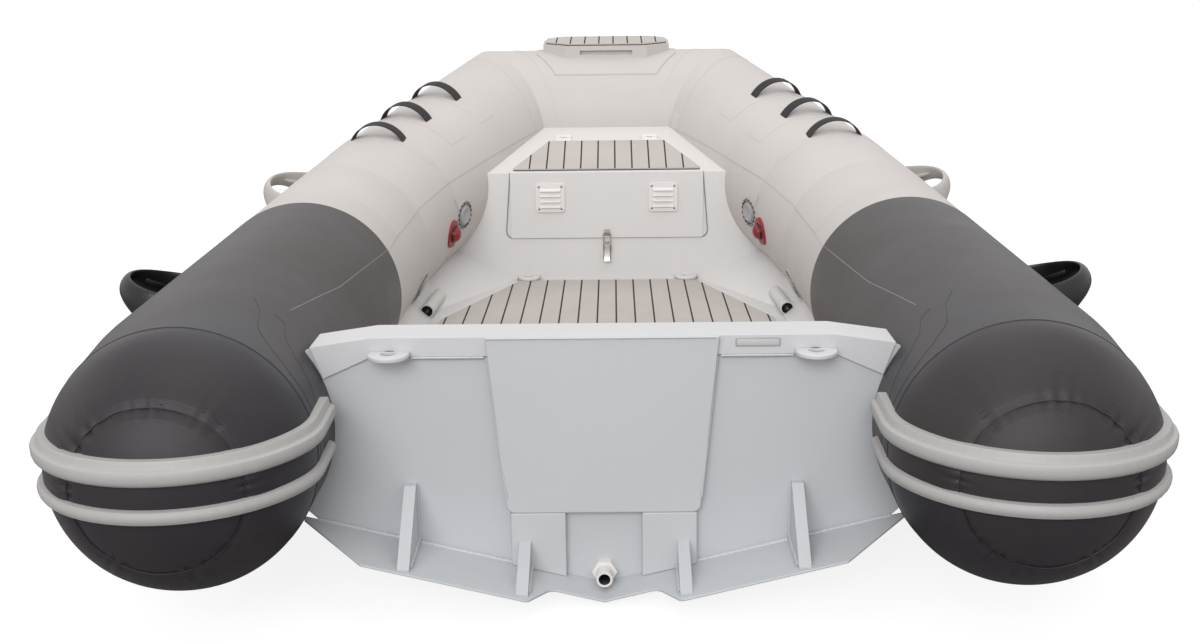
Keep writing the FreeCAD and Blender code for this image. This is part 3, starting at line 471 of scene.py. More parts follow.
class Groups:
    """Shader node groups shared by the finishes."""

    made: dict[str, bpy.types.NodeTree] = {}

    @staticmethod
    def start(name: str, inputs: Sequence[tuple[str, str, object]], outputs: Sequence[tuple[str, str]]
              ) -> tuple[bpy.types.NodeTree, bpy.types.Node, bpy.types.Node]:
        """Empty group with its sockets.

        Args:
            name: Name of the group.
            inputs: Name, socket type and default of each input.
            outputs: Name and socket type of each output.

        Returns:
            The tree, its input node and its output node.
        """
        tree = bpy.data.node_groups.new(name, "ShaderNodeTree")
        for label, kind, default in inputs:
            socket = tree.interface.new_socket(name=label, in_out="INPUT", socket_type=kind)
            socket.default_value = default
        for label, kind in outputs:
            tree.interface.new_socket(name=label, in_out="OUTPUT", socket_type=kind)
        return tree, tree.nodes.new("NodeGroupInput"), tree.nodes.new("NodeGroupOutput")

    @classmethod
    def mottle(cls) -> bpy.types.NodeTree:
        """Soft patches of a second colour, and of a rougher surface, over the first.

        Returns:
            The group, which is made when it is first asked for.
        """
        if "mottle" in cls.made:
            return cls.made["mottle"]
        tree, source, out = cls.start(
            "mottle",
            [("Color", "NodeSocketColor", (0.5, 0.5, 0.5, 1)),
             ("Second", "NodeSocketColor", (0.4, 0.4, 0.4, 1)),
             ("Scale", "NodeSocketFloat", 3.0), ("Amount", "NodeSocketFloat", 0.3),
             ("Roughness", "NodeSocketFloat", 0.5), ("Spread", "NodeSocketFloat", 0.1)],
            [("Color", "NodeSocketColor"), ("Roughness", "NodeSocketFloat")])
        broad = tree.nodes.new("ShaderNodeTexNoise")
        fill_in(broad, {"Detail": 6.0, "Roughness": 0.62})
        tree.links.new(coordinate_mapping(tree, (1, 1, 1)), broad.inputs["Vector"])
        tree.links.new(source.outputs["Scale"], broad.inputs["Scale"])
        spread = tree.nodes.new("ShaderNodeMapRange")
        fill_in(spread, {"From Min": 0.35, "From Max": 0.70})
        tree.links.new(broad.outputs["Fac"], spread.inputs["Value"])
        patch = spread.outputs["Result"]
        mix = tree.nodes.new("ShaderNodeMix")
        mix.data_type = "RGBA"
        share = calculated(tree, "MULTIPLY", patch, source.outputs["Amount"])
        tree.links.new(share, mix.inputs["Factor"])
        tree.links.new(source.outputs["Color"], mix.inputs["A"])
        tree.links.new(source.outputs["Second"], mix.inputs["B"])
        tree.links.new(mix.outputs["Result"], out.inputs["Color"])
        sheen = calculated(tree, "MULTIPLY_ADD", patch, source.outputs["Spread"],
                           source.outputs["Roughness"])
        tree.links.new(sheen, out.inputs["Roughness"])
        cls.made["mottle"] = tree
        return tree

    @classmethod
    def texture(cls, texture: Texture) -> bpy.types.NodeTree:
        """Height of one kind of fine surface.

        Args:
            texture: Kind of surface.

        Returns:
            The group, which is made when it is first asked for.
        """
        if texture.value in cls.made:
            return cls.made[texture.value]
        tree, source, out = cls.start(texture.value, [("Scale", "NodeSocketFloat", 500.0)],
                                      [("Height", "NodeSocketFloat")])
        drawn_out = {Texture.FOAM: (1.0, 0.06, 1.0), Texture.BRUSHED: (1.0, 1.0, 0.05)}
        places = coordinate_mapping(tree, drawn_out.get(texture, (1.0, 1.0, 1.0)))
        grain = tree.nodes.new("ShaderNodeTexNoise")
        grain.inputs["Detail"].default_value = 4.0
        tree.links.new(places, grain.inputs["Vector"])
        tree.links.new(source.outputs["Scale"], grain.inputs["Scale"])
        height = grain.outputs["Fac"]
        if texture in (Texture.FABRIC, Texture.WOVEN):
            thread_height = 0.5
            for direction in ("X", "Z"):
                threads = tree.nodes.new("ShaderNodeTexWave")
                threads.wave_type = "BANDS"
                threads.bands_direction = direction
                threads.inputs["Distortion"].default_value = 0.6
                tree.links.new(places, threads.inputs["Vector"])
                tree.links.new(source.outputs["Scale"], threads.inputs["Scale"])
                height = calculated(tree, "MULTIPLY_ADD", threads.outputs["Fac"], thread_height, height)
        tree.links.new(height, out.inputs["Height"])
        cls.made[texture.value] = tree
        return tree


@dataclass(frozen=True)
class Finish:
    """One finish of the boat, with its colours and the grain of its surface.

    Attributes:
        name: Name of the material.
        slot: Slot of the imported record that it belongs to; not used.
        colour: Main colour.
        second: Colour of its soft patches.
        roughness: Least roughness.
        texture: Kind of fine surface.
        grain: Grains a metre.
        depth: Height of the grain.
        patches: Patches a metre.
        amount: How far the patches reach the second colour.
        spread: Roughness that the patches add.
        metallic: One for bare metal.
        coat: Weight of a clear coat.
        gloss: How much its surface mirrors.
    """

    name: str
    slot: str
    colour: tuple[float, float, float, float]
    second: tuple[float, float, float, float]
    roughness: float
    texture: Texture
    grain: float = 500.0
    depth: float = 0.00015
    patches: float = 3.0
    amount: float = 0.35
    spread: float = 0.1
    metallic: float = 0.0
    coat: float = 0.0
    gloss: float = 0.5

    def material(self) -> bpy.types.Material:
        """The material of this finish, built once.

        Returns:
            The material.
        """
        if self.name in bpy.data.materials:
            return bpy.data.materials[self.name]
        material = bpy.data.materials.new(self.name)
        material.use_nodes = True
        tree = material.node_tree
        shader = tree.nodes["Principled BSDF"]
        fill_in(shader, {"Metallic": self.metallic, "Coat Weight": self.coat,
                         "Specular IOR Level": self.gloss})
        mottle = tree.nodes.new("ShaderNodeGroup")
        mottle.node_tree = Groups.mottle()
        fill_in(mottle, {"Color": self.colour, "Second": self.second, "Scale": self.patches,
                         "Amount": self.amount, "Roughness": self.roughness, "Spread": self.spread})
        tree.links.new(mottle.outputs["Color"], shader.inputs["Base Color"])
        tree.links.new(mottle.outputs["Roughness"], shader.inputs["Roughness"])
        grain = tree.nodes.new("ShaderNodeGroup")
        grain.node_tree = Groups.texture(self.texture)
        grain.inputs["Scale"].default_value = self.grain
        bump = tree.nodes.new("ShaderNodeBump")
        fill_in(bump, {"Strength": 1.0, "Distance": self.depth})
        tree.links.new(grain.outputs["Height"], bump.inputs["Height"])
        tree.links.new(bump.outputs["Normal"], shader.inputs["Normal"])
        return material


LIGHT_FABRIC = Finish("light_fabric", "tube_fabric_light", srgb(197, 192, 189), srgb(189, 184, 181), 0.46,
                      Texture.FABRIC, 700.0, 0.00006, 2.4, 0.6)
DARK_FABRIC = Finish("dark_fabric", "tube_fabric_dark", srgb(42, 40, 46), srgb(62, 54, 50), 0.34,
                     Texture.FABRIC, 700.0, 0.00006, 2.8, 0.6, gloss=0.32)
SEAM_DARK = Finish("dark_seam", "tube_fabric_dark", srgb(38, 36, 40), srgb(48, 45, 48), 0.5, Texture.MOULDED)
SEAM_LIGHT = Finish("light_seam", "tube_fabric_light", srgb(176, 172, 168), srgb(186, 182, 178), 0.5,
                    Texture.MOULDED)
STRAKE = Finish("moulded_strake", "strake_rubber", srgb(169, 167, 165), srgb(161, 159, 157), 0.48,
                Texture.MOULDED, 420.0, 0.00012, 6.0, 0.5)
HULL_PAINT = Finish("hull_coat", "hull_paint", srgb(214, 212, 211), srgb(208, 206, 204), 0.38,
                    Texture.POWDER, 900.0, 0.00008, 4.0, 0.5)
TRANSOM_PAINT = Finish("transom_coat", "transom_paint", srgb(190, 193, 196), srgb(184, 187, 190), 0.36,
                       Texture.POWDER, 900.0, 0.00008, 4.0, 0.5)
# Transom paint made lighter. On the capping this is painted light, for the top-down light on its top. The
# towing eyes, which are pale paint, share it.
PALE_PAINT_AND_CAP_LIGHT = Finish("pale_coat_and_cap_light", "transom_paint", srgb(200, 200, 202), srgb(194, 194, 196), 0.36,
                   Texture.POWDER, 900.0, 0.00008, 4.0, 0.5)
PAD_BOARD = Finish("pressed_board", "pad_board", srgb(192, 194, 196), srgb(186, 188, 190), 0.42,
                   Texture.POWDER, 1300.0, 0.00006, 5.0, 0.4)
FOAM = Finish("planked_foam", "foam_tread", srgb(187, 181, 177), srgb(176, 170, 165), 0.72,
              Texture.FOAM, 1400.0, 0.0003, 5.0, 0.7)
FOAM_GROOVE = Finish("foam_groove", "foam_tread", srgb(52, 49, 50), srgb(64, 60, 60), 0.8, Texture.MOULDED)
WEBBING = Finish("webbing", "webbing_black", srgb(42, 40, 43), srgb(56, 53, 55), 0.62,
                 Texture.WOVEN, 420.0, 0.0006, 30.0, 0.5)
# Black rubber of the aft handles, the valves and the conduit insides, and painted shade in the drain's bore,
# the half-round drains and the screw slots.
BLACK_RUBBER_AND_SHADE = Finish("black_rubber_and_shade", "handle_black", srgb(22, 22, 24), srgb(34, 33, 35), 0.32,
                      Texture.MOULDED, 300.0, 0.0002, 20.0, 0.4)
GREY_RUBBER = Finish("grey_rubber", "handle_grey", srgb(186, 182, 177), srgb(170, 166, 160), 0.5,
                     Texture.MOULDED, 300.0, 0.0002, 20.0, 0.5)
VALVE_GREY = Finish("grey_valve", "valve_grey", srgb(168, 168, 167), srgb(150, 150, 150), 0.4,
                    Texture.MOULDED)
VALVE_RED = Finish("red_valve", "valve_red", srgb(142, 26, 38), srgb(120, 20, 30), 0.35, Texture.MOULDED)
STEEL = Finish("stainless_steel", "stainless", srgb(190, 187, 182), srgb(160, 156, 150), 0.26,
               Texture.BRUSHED, 900.0, 0.00005, 40.0, 0.5, 0.15, 1.0)
WHITE = Finish("white_moulding", "vent_white", srgb(224, 221, 219), srgb(217, 214, 211), 0.34,
               Texture.MOULDED, 500.0, 0.00008, 12.0, 0.4)
CONDUIT = Finish("grey_conduit", "conduit_grey", srgb(205, 204, 202), srgb(194, 193, 190), 0.4,
                 Texture.MOULDED)
# Grey of the bead round the lid: painted shade of the gap.
GAP_SHADE = Finish("gap_shade_grey", "handle_black", srgb(130, 128, 127), srgb(142, 140, 138), 0.6,
                Texture.MOULDED)


@dataclass(frozen=True)
class TubeLine:
    """Axis of the air tube, from the starboard tail seam round the bow to the port one.

    Attributes:
        radius: Radius of the inflated tube.
        half: Corners of the starboard half, as x, y ahead of the transom and z over the stern axis.
        colour_seam_y: Where the dark tail meets the light tube.
        taper_from_y: Where the tube starts to narrow towards its tail.
        root: Middle of the tail's ring seam, in the same terms as the corners.
        root_radius: Radius of the ring seam.
    """

    radius: float = 0.207
    half: tuple[tuple[float, float, float], ...] = (
        (0.628, -0.159, 0.0), (0.664, 1.080, 0.0), (0.650, 1.370, 0.018), (0.590, 1.630, 0.068),
        (0.317, 2.250, 0.238))
    colour_seam_y: float = 0.900
    taper_from_y: float = 0.010
    root: tuple[float, float, float] = (0.617, -0.159, 0.007)
    root_radius: float = 0.197

    def corners(self) -> list[Vector]:
        """Corners of the whole axis.

        Returns:
            The corners in the part's frame, from the starboard tail to the port one.
        """
        starboard = [at(*corner) for corner in self.half]
        port = [Vector((-point.x, point.y, point.z)) for point in reversed(starboard)]
        return starboard + port

    def heading(self, run: int) -> Vector:
        """Unit vector along a run."""
        corners = self.corners()
        return (corners[run + 1] - corners[run]).normalized()

    def root_axes(self) -> tuple[Vector, Vector, Vector, Vector]:
        """Place of the starboard tail's ring seam.

        Returns:
            Its middle, with the directions ahead, outboard and up.
        """
        along = self.heading(0)
        level = outboard(along)
        return at(*self.root), along, level, level.cross(along)

    def run_at(self, y: float) -> int:
        """Starboard run that holds a distance ahead of the transom."""
        return sum(1 for corner in self.half[1:-1] if y > corner[1])

    def taper(self, y: float) -> float:
        """Share of the way down the taper at a distance ahead of the transom."""
        return min(max((self.taper_from_y - y) / (self.taper_from_y - self.root[1]), 0.0), 1.0)

    def radius_at(self, y: float) -> float:
        """Radius of the starboard tube at a distance ahead of the transom."""
        return self.radius + (self.root_radius - self.radius) * self.taper(y)

    def centre(self, y: float) -> Vector:
        """Point of the starboard axis.

        Args:
            y: Distance ahead of the transom.

        Returns:
            The point in the part's frame.
        """
        if y < self.taper_from_y:
            return self.centre(self.taper_from_y).lerp(at(*self.root), self.taper(y))
        run = self.run_at(y)
        start, end = Vector(self.half[run]), Vector(self.half[run + 1])
        return at(*start.lerp(end, (y - start.y) / (end.y - start.y)))

    def seat(self, y: float, angle: float, out: float = 0.0) -> Matrix:
        """Frame on the starboard skin.

        Args:
            y: Distance ahead of the transom.
            angle: Degrees from the outboard side, up over the top.
            out: Height over the skin.

        Returns:
            Frame with x along the tube, y round it and z outwards.
        """
        along = self.heading(self.run_at(y))
        level = outboard(along)
        turn = math.radians(angle)
        outward = level * math.cos(turn) + level.cross(along) * math.sin(turn)
        place = self.centre(y) + outward * (self.radius_at(y) + out)
        return axes(place, along, outward.cross(along), outward)

    def band(self, seat: Matrix, span: float, lengths: Sequence[float]) -> list[Matrix]:
        """Frames of a band that lies round the tube.

        Args:
            seat: Frame on the skin at the middle of the band.
            span: Angle that it covers in degrees.
            lengths: Share of its full length at each station.

        Returns:
            One frame a station, with y along the tube and z outwards.
        """
        along, outward = seat.col[0].to_3d(), seat.col[2].to_3d()
        centre = seat.translation - outward * self.radius
        frames = []
        for index, length in enumerate(lengths):
            angle = math.radians(span) * (index / (len(lengths) - 1) - 0.5)
            spoke = Matrix.Rotation(-angle, 3, along) @ outward
            frames.append(axes(centre + spoke * self.radius, along.cross(spoke), along * length, spoke))
        return frames

    def rings(self, first: int, last: int, shares: Sequence[float]) -> list[Matrix]:
        """Circle frames from one run to another, slanting into the mitre planes.

        Args:
            first: First run.
            last: Last run.
            shares: Places of the rings along each run, from zero to one.

        Returns:
            One frame a ring.
        """
        corners = self.corners()
        headings = [self.heading(run) for run in range(len(corners) - 1)]
        level = outboard(headings[first])
        frames = []
        for run in range(first, last + 1):
            if run > first:
                level = headings[run - 1].rotation_difference(headings[run]) @ level
            along = headings[run]
            up = level.cross(along)
            ends = []
            for corner in (run, run + 1):
                inside = 0 < corner < len(corners) - 1
                normal = (headings[corner - 1] + headings[corner]).normalized() if inside else along
                ends.append([axis - along * (axis.dot(normal) / along.dot(normal)) for axis in (level, up)])
            for share in shares if run == first else shares[1:]:
                across = ends[0][0].lerp(ends[1][0], share) * self.radius
                upward = ends[0][1].lerp(ends[1][1], share) * self.radius
                frames.append(axes(corners[run].lerp(corners[run + 1], share), across, upward, along))
        return frames


@dataclass(frozen=True)
class Gathers:
    """Folds of the fabric round the seam of a tail's end disc.

    Attributes:
        count: Folds round the whole seam.
        height: Height of a full fold.
        reach_outside: How far the folds run outside the seam.
        reach_inside: How far they run inside it.
        clusters: How often the folds come in clusters.
        cover: How much of the seam the clusters cover.
        drift: How far the folds stray from even spacing.
        drift_pace: How fast they stray.
        roll: Height of the soft roll outside the seam.
        roll_place: Distance of the roll's top from the seam.
        roll_width: Half width of the roll.
        crease: Depth of the crease at the seam.
        crease_width: Half width of the crease.
    """

    count: int = 38
    height: float = 0.0024
    reach_outside: float = 0.030
    reach_inside: float = 0.010
    clusters: float = 2.1
    cover: float = 0.28
    drift: float = 6.0
    drift_pace: float = 4.0
    roll: float = 0.0016
    roll_place: float = 0.020
    roll_width: float = 0.022
    crease: float = 0.0022
    crease_width: float = 0.006

    def rise(self, outside: float, turn: float, seed: float) -> float:
        """Height of the gathered skin over the plain one.

        Args:
            outside: Distance outside the seam.
            turn: Angle round the seam in radians.
            seed: Shift of the pattern.

        Returns:
            The height, less than zero in the crease.
        """
        reach = self.reach_outside if outside > 0 else self.reach_inside
        weight = math.exp(-(outside / reach) ** 2)
        place = Vector((math.cos(turn) * self.clusters, math.sin(turn) * self.clusters, seed))
        cluster = max(0.0, noise.noise(place) + self.cover)
        stray = self.drift * noise.noise(Vector((turn * self.drift_pace, seed, 0)))
        fold = weight * cluster * self.height * math.sin(turn * self.count + stray)
        roll = self.roll * math.exp(-((outside - self.roll_place) / self.roll_width) ** 2)
        return fold + roll - self.crease * math.exp(-(outside / self.crease_width) ** 2)


@dataclass
class AirTubes:
    """The inflated tubes with their seams, patches and dark tails.

    Attributes:
        line: Axis of the tubes.
        gathers: Folds round the tails' end discs.
        tail_depth: Length of the turned tail behind its ring seam.
        side_radius: Radius of the tail's shoulder.
        disc_radius: Radius of the end disc's seam.
        skin: Thickness of the coated fabric.
        overlap: How far the light tube reaches into the dark one.
        bend_round: How far a small bend of the light tube is rounded.
        bow_round: How far a corner at the bow is rounded.
        tail_corners: Corners round a tail.
        tube_corners: Corners round the light tube.
    """

    line: TubeLine
    gathers: Gathers = Gathers()
    tail_depth: float = 0.182
    side_radius: float = 0.147
    disc_radius: float = 0.121
    skin: float = 0.0009
    overlap: float = 0.02
    bend_round: float = 0.024
    bow_round: float = 0.050
    tail_corners: int = 224
    tube_corners: int = 128

    def tail_arcs(self) -> tuple[float, float]:
        """Arcs of a tail's outline.

        Returns:
            Radius of the end arc, and the angle at which the shoulder's arc runs into it.
        """
        across, depth, side = self.line.root_radius, self.tail_depth, self.side_radius
        end = ((across - side) ** 2 + depth ** 2 - side ** 2) / (2 * (depth - side))
        return end, math.atan2(end - depth, across - side)

    def tail_profile(self, steps: int = 34) -> list[tuple[float, float]]:
        """Outline of a tail.

        Args:
            steps: Straight pieces of its end arc.

        Returns:
            Radius and distance behind the ring seam of each point, down to the tip.
        """
        shoulder_steps, least_radius = 12, 0.004
        end, meet = self.tail_arcs()
        side = self.side_radius
        points = []
        for step in range(1, shoulder_steps + 1):
            turn = meet * step / shoulder_steps
            points.append((self.line.root_radius - side + side * math.cos(turn), side * math.sin(turn)))
        for step in range(1, steps + 1):
            turn = meet + (math.pi / 2 - meet) * (step / steps)
            behind = end * math.sin(turn) - (end - self.tail_depth)
            points.append((max(end * math.cos(turn), least_radius), behind))
        return points

    def pucker(self, point: Vector, centre: Vector, along: Vector, level: Vector) -> Vector:
        """Shift of a point of the tail by the folds round its end disc.

        Args:
            point: Point of the skin.
            centre: Where the tail's ring seam crosses the axis.
            along: Heading of the tube.
            level: Outboard direction.

        Returns:
            The shift.
        """
        unfolded = 0.02
        offset = point - centre
        behind = -offset.dot(along)
        if behind < unfolded:
            return Vector()
        spoke = offset + along * behind
        radius = spoke.length
        rise = self.gathers.rise(radius - self.disc_radius, math.atan2(spoke.z, spoke.dot(level)), centre.x)
        outward = spoke.normalized() * radius / self.line.radius - along * (behind / self.tail_depth)
        return outward.normalized() * rise

    def tail(self, side: int) -> None:
        """Dark tail of one side: the straight sleeve and the turned end.

        Args:
            side: One to starboard, minus one to port.
        """
        form = Form()
        seam, along, level, up = self.line.root_axes()
        sleeve_steps = 10
        stations = [self.line.colour_seam_y * (1 - step / sleeve_steps) for step in range(sleeve_steps)]
        stations += [self.line.taper_from_y + 0.02, self.line.taper_from_y - 0.015, -0.05, -0.10]
        stations.append(self.line.root[1])
        frames = []
        for station in stations:
            size = self.line.radius_at(station) + self.skin
            frames.append(axes(self.line.centre(station), level * size, up * size, along))
        for radius, behind in self.tail_profile():
            size = radius + self.skin
            frames.append(axes(seam - along * behind, level * size, up * size, along))
        form.sweep_circle(frames, self.tail_corners)
        for corner in form.mesh.verts:
            corner.co += self.pucker(corner.co, seam, along, level)
        if side < 0:
            form.flip_over()
        form.finish("tail_skin_" + SIDES[side], [DARK_FABRIC], stands_for=["tail_" + SIDES[side]], crease=50)

    def light_tube(self) -> None:
        """The light tube, in one piece from colour seam to colour seam."""
        form = Form()
        rings_a_run = 10
        last_run = len(self.line.corners()) - 2
        frames = self.line.rings(0, last_run, [step / rings_a_run for step in range(rings_a_run + 1)])
        end = self.line.centre(self.line.colour_seam_y - self.overlap)
        kept = [ring for ring in frames if ring.translation.y > end.y]
        first, last = kept[0].copy(), kept[-1].copy()
        first.translation = end
        last.translation = (-end.x, end.y, end.z)
        self.round_bends(form, form.sweep_circle([first] + kept + [last], self.tube_corners))
        form.finish("air_tube", [LIGHT_FABRIC], stands_for=["tube_starboard", "tube_port", "tube_bow"],
                    crease=60)

    def round_bends(self, form: Form, rings: Sequence[list[bmesh.types.BMVert]]) -> None:
        """Round the light tube's bends, the corners at the bow more than the others.

        Args:
            form: Mesh of the tube.
            rings: Corners of each of its rings.
        """
        near, sharp_turn, segments = 1e-4, 0.6, 5
        corners = self.line.corners()
        bends = range(1, len(corners) - 1)
        for ring in rings:
            centre = sum((corner.co for corner in ring), Vector()) / len(ring)
            here = [index for index in bends if (centre - corners[index]).length <= near]
            if not here:
                continue
            turn = self.line.heading(here[0] - 1).angle(self.line.heading(here[0]))
            width = self.bow_round if turn > sharp_turn else self.bend_round
            members = set(ring)
            edges = {edge for corner in ring for edge in corner.link_edges}
            form.bevel([edge for edge in edges if members.issuperset(edge.verts)], width, segments)

    def skin_line(self, form: Form, path: Outline, width: float) -> None:
        """Fine bead on the starboard skin.

        Args:
            form: Mesh that takes the bead.
            path: Distance ahead of the transom and angle in degrees of its corners.
            width: Width of the bead.
        """
        steps, height = 12, width * 0.3
        places = []
        for (y_from, turn_from), (y_to, turn_to) in zip(path, path[1:]):
            for step in range(steps):
                share = step / steps
                y = y_from + (y_to - y_from) * share
                turn = turn_from + (turn_to - turn_from) * share
                places.append(self.line.seat(y, turn, self.skin))
        places.append(self.line.seat(*path[-1], self.skin))
        frames = []
        for place, heading in zip(places, directions([place.translation for place in places])):
            outward = place.col[2].to_3d()
            side = outward.cross(heading).normalized()
            frames.append(axes(place.translation, heading, side * width / 2, outward * height))
        form.sweep([(1, 0), (0.6, 0.8), (-0.6, 0.8), (-1, 0), (-0.6, -0.9), (0.6, -0.9)], frames)

    def ring_line(self, form: Form, radius: float, behind: float, wobble: float) -> None:
        """Glue line right round the starboard tail.

        Args:
            form: Mesh that takes the line.
            radius: Radius of the tail there.
            behind: Distance behind the ring seam.
            wobble: How far the line strays.
        """
        count, bead, slow, fast, lean = 180, 0.0011, 2.4, 9, 0.7
        seam, along, level, up = self.line.root_axes()
        frames = []
        for step in range(count + 1):
            turn = math.tau * step / count
            shift = wobble * noise.noise(Vector((math.cos(turn) * slow, math.sin(turn) * slow, 7)))
            ripple = wobble / 2 * noise.noise(Vector((math.cos(turn) * fast, math.sin(turn) * fast, 3)))
            spoke = level * math.cos(turn) + up * math.sin(turn)
            tangent = up * math.cos(turn) - level * math.sin(turn)
            centre = seam - along * (behind - lean * shift) + spoke * (radius + self.skin + shift + ripple)
            frames.append(axes(centre, tangent, spoke * bead, along * bead))
        form.sweep([(1, 0), (0, 1), (-1, 0), (0, -1)], frames)

    def tail_seams(self) -> None:
        """Dark glue lines of the tails: ring seam, end disc and the transom patches."""
        form = Form()
        self.ring_line(form, self.line.root_radius, 0.0, 0.0)
        disc = min(self.tail_profile(120), key=lambda point: abs(point[0] - self.disc_radius))
        self.ring_line(form, *disc, 0.0022)
        outer_patch = [(0.070, 112), (0.021, 118), (-0.055, 121), (-0.079, 124), (-0.112, 132),
                       (-0.130, 143), (-0.131, 152), (-0.133, 162), (-0.138, 180), (-0.138, 205),
                       (-0.118, 230), (-0.085, 250)]
        self.skin_line(form, outer_patch, 0.0018)
        inner_patch = [(0.040, 124), (0.026, 130), (-0.030, 134), (-0.060, 141), (-0.078, 153),
                       (-0.097, 162), (-0.104, 180), (-0.100, 205), (-0.065, 232)]
        self.skin_line(form, inner_patch, 0.0016)
        form.mirror_over()
        form.finish("tail_seams", [SEAM_DARK])

    def light_seams(self) -> None:
        """Faint glue lines of the light tube, and the hairline down the dark one."""
        glue_lines = (
            ([(0.905, 152), (1.08, 152)], 0.0010), ([(1.085, 152), (1.36, 153)], 0.0010),
            ([(1.375, 153), (1.62, 156)], 0.0010),
            ([(1.60, 168), (1.622, 188), (1.600, 212), (1.54, 226)], 0.0014),
            ([(1.64, 158), (1.90, 164), (2.10, 170)], 0.0012),
        )
        hairline = (([(0.10, 128), (0.40, 140), (0.895, 151)], 0.0007),)
        for name, lines in (("light_seams", glue_lines), ("tail_hairline", hairline)):
            form = Form()
            for path, width in lines:
                self.skin_line(form, path, width)
            form.mirror_over()
            form.finish(name, [SEAM_LIGHT])

    def patch_band(self, form: Form, y: float, turn: float, length: float, span: float) -> None:
        """Thin fabric patch on the starboard skin.

        Args:
            form: Mesh that takes the patch.
            y: Middle of the patch.
            turn: Angle of its middle in degrees.
            length: Length along the tube.
            span: Angle that it covers in degrees.
        """
        sunk, soft, end_length, steps = 0.001, 0.0003, 0.93, 26
        lengths = [end_length] + [1.0] * (steps - 1) + [end_length]
        section = rounded(rectangle(length / 2, -sunk, self.skin), soft, 1)
        form.sweep(section, self.line.band(self.line.seat(y, turn), span, lengths))

    def mitre_tapes(self) -> None:
        """Seam tapes beside the bow's mitres, as thin bands right round the tube."""
        form = Form()
        half_width, lift, corners = 0.004, 1.003, 96
        for run, share in ((3, 0.90), (4, 0.12)):
            frames = self.line.rings(run, run, [share - half_width, share + half_width])
            form.sweep_circle([ring @ Matrix.Diagonal((lift, lift, 1, 1)) for ring in frames], corners)
        form.mirror_over()
        form.finish("bow_seam_tapes", [LIGHT_FABRIC])

    def build(self) -> None:
        """Make every piece of the tubes."""
        self.light_tube()
        for side in SIDES:
            self.tail(side)
        self.tail_seams()
        self.light_seams()
        self.mitre_tapes()


@dataclass
class RubStrakes:
    """The two moulded strakes round the outside of the tubes.

    Attributes:
        line: Axis of the tubes.
        tubes: The tubes, for the tail's arcs.
        bed: Depth of a strake's back inside the tube's skin line.
        lead_in: Length of the straight inner end beside the transom.
        bend_round: Radius of a strake's bend at a small bend of the tube.
        bow_round: The same at a corner of the bow.
        upper_z: Height of the upper strake over the stern axis.
        lower_z: Height of the lower strake.
    """

    line: TubeLine
    tubes: AirTubes
    bed: float = 0.014
    lead_in: float = 0.095
    bend_round: float = 0.10
    bow_round: float = 0.06
    upper_z: float = 0.036
    lower_z: float = -0.021

    def plan_path(self, level_z: float) -> list[tuple[Vector, Vector]]:
        """Bed line of a starboard strake, from its inner end to the bow's centreline.

        Args:
            level_z: Height of the strake over the stern axis.

        Returns:
            Each point with its outward direction.
        """
        across, depth, side = self.line.root_radius, self.tubes.tail_depth, self.tubes.side_radius
        end, meet = self.tubes.tail_arcs()
        seam, along, level, _ = self.line.root_axes()
        lift = Vector((0, 0, level_z))
        path = []

        def add(x: float, y: float, turn: float) -> None:
            """Add a point of the tail's plan, its outward direction turned from the outboard side."""
            outward = level * math.cos(turn) + along * math.sin(turn)
            path.append((seam + level * x + along * y + lift, outward))

        lead_steps = 5
        for step in range(lead_steps + 1):
            add(self.bed - across, self.lead_in * (1 - step / lead_steps), math.pi)
        tail_arcs = (
            (side - across, 0.0, side, math.pi, meet, 12),
            (0.0, end - depth, end, math.pi + meet, math.pi - 2 * meet, 24),
            (across - side, 0.0, side, math.tau - meet, meet, 12),
        )
        for middle_x, middle_y, radius, start, sweep, count in tail_arcs:
            reach = radius - self.bed
            for step in range(1, count + 1):
                turn = start + sweep * step / count
                add(middle_x + reach * math.cos(turn), middle_y + reach * math.sin(turn), turn)
        reach = self.line.radius - self.bed
        path.append((self.line.centre(self.line.taper_from_y) + level * reach + lift, level))
        corners = self.line.corners()
        bow_corner, bend_steps = 4, 8
        for index in range(1, bow_corner + 1):
            before, after = (outboard(self.line.heading(run)) for run in (index - 1, index))
            radius = self.bend_round if index < bow_corner else self.bow_round
            inner = (before + after) / (1 + before.dot(after))
            pivot = corners[index] + inner * (reach - radius) + lift
            for step in range(bend_steps + 1):
                outward = before.slerp(after, step / bend_steps)
                path.append((pivot + outward * radius, outward))
        last, outward = path[-1]
        path.append((Vector((0, last.y, last.z)), outward))
        return path

    def build(self) -> None:
        """Make both strakes on both sides, their sections drawn in millimetres."""
        upper = [(0, -12), (17, -12), (22.5, -10.5), (26.5, -6.5), (28, -1), (28, 6), (26.5, 10),
                 (23.5, 11.8), (20.5, 12.6), (19, 15), (18, 22), (16.5, 24), (0, 24)]
        lower = [(0, -11), (15.5, -11), (20.5, -9), (23.5, -4.5), (24.5, 0), (23.5, 5), (20.5, 9),
                 (15.5, 11), (0, 11)]
        for level, level_z, section in (("upper", self.upper_z, upper), ("lower", self.lower_z, lower)):
            path = self.plan_path(level_z)
            outline = [(out / 1000, up / 1000) for out, up in section]
            frames = [axes(point, heading, outward, UP)
                      for (point, outward), heading in zip(path, directions([point for point, _ in path]))]
            for side, word in SIDES.items():
                form = Form()
                form.sweep(outline, frames)
                if side < 0:
                    form.flip_over()
                form.finish("strake_%s_%s" % (level, word), [STRAKE],
                            stands_for=["rub_strake_%s_%s" % (level, word)], crease=30)


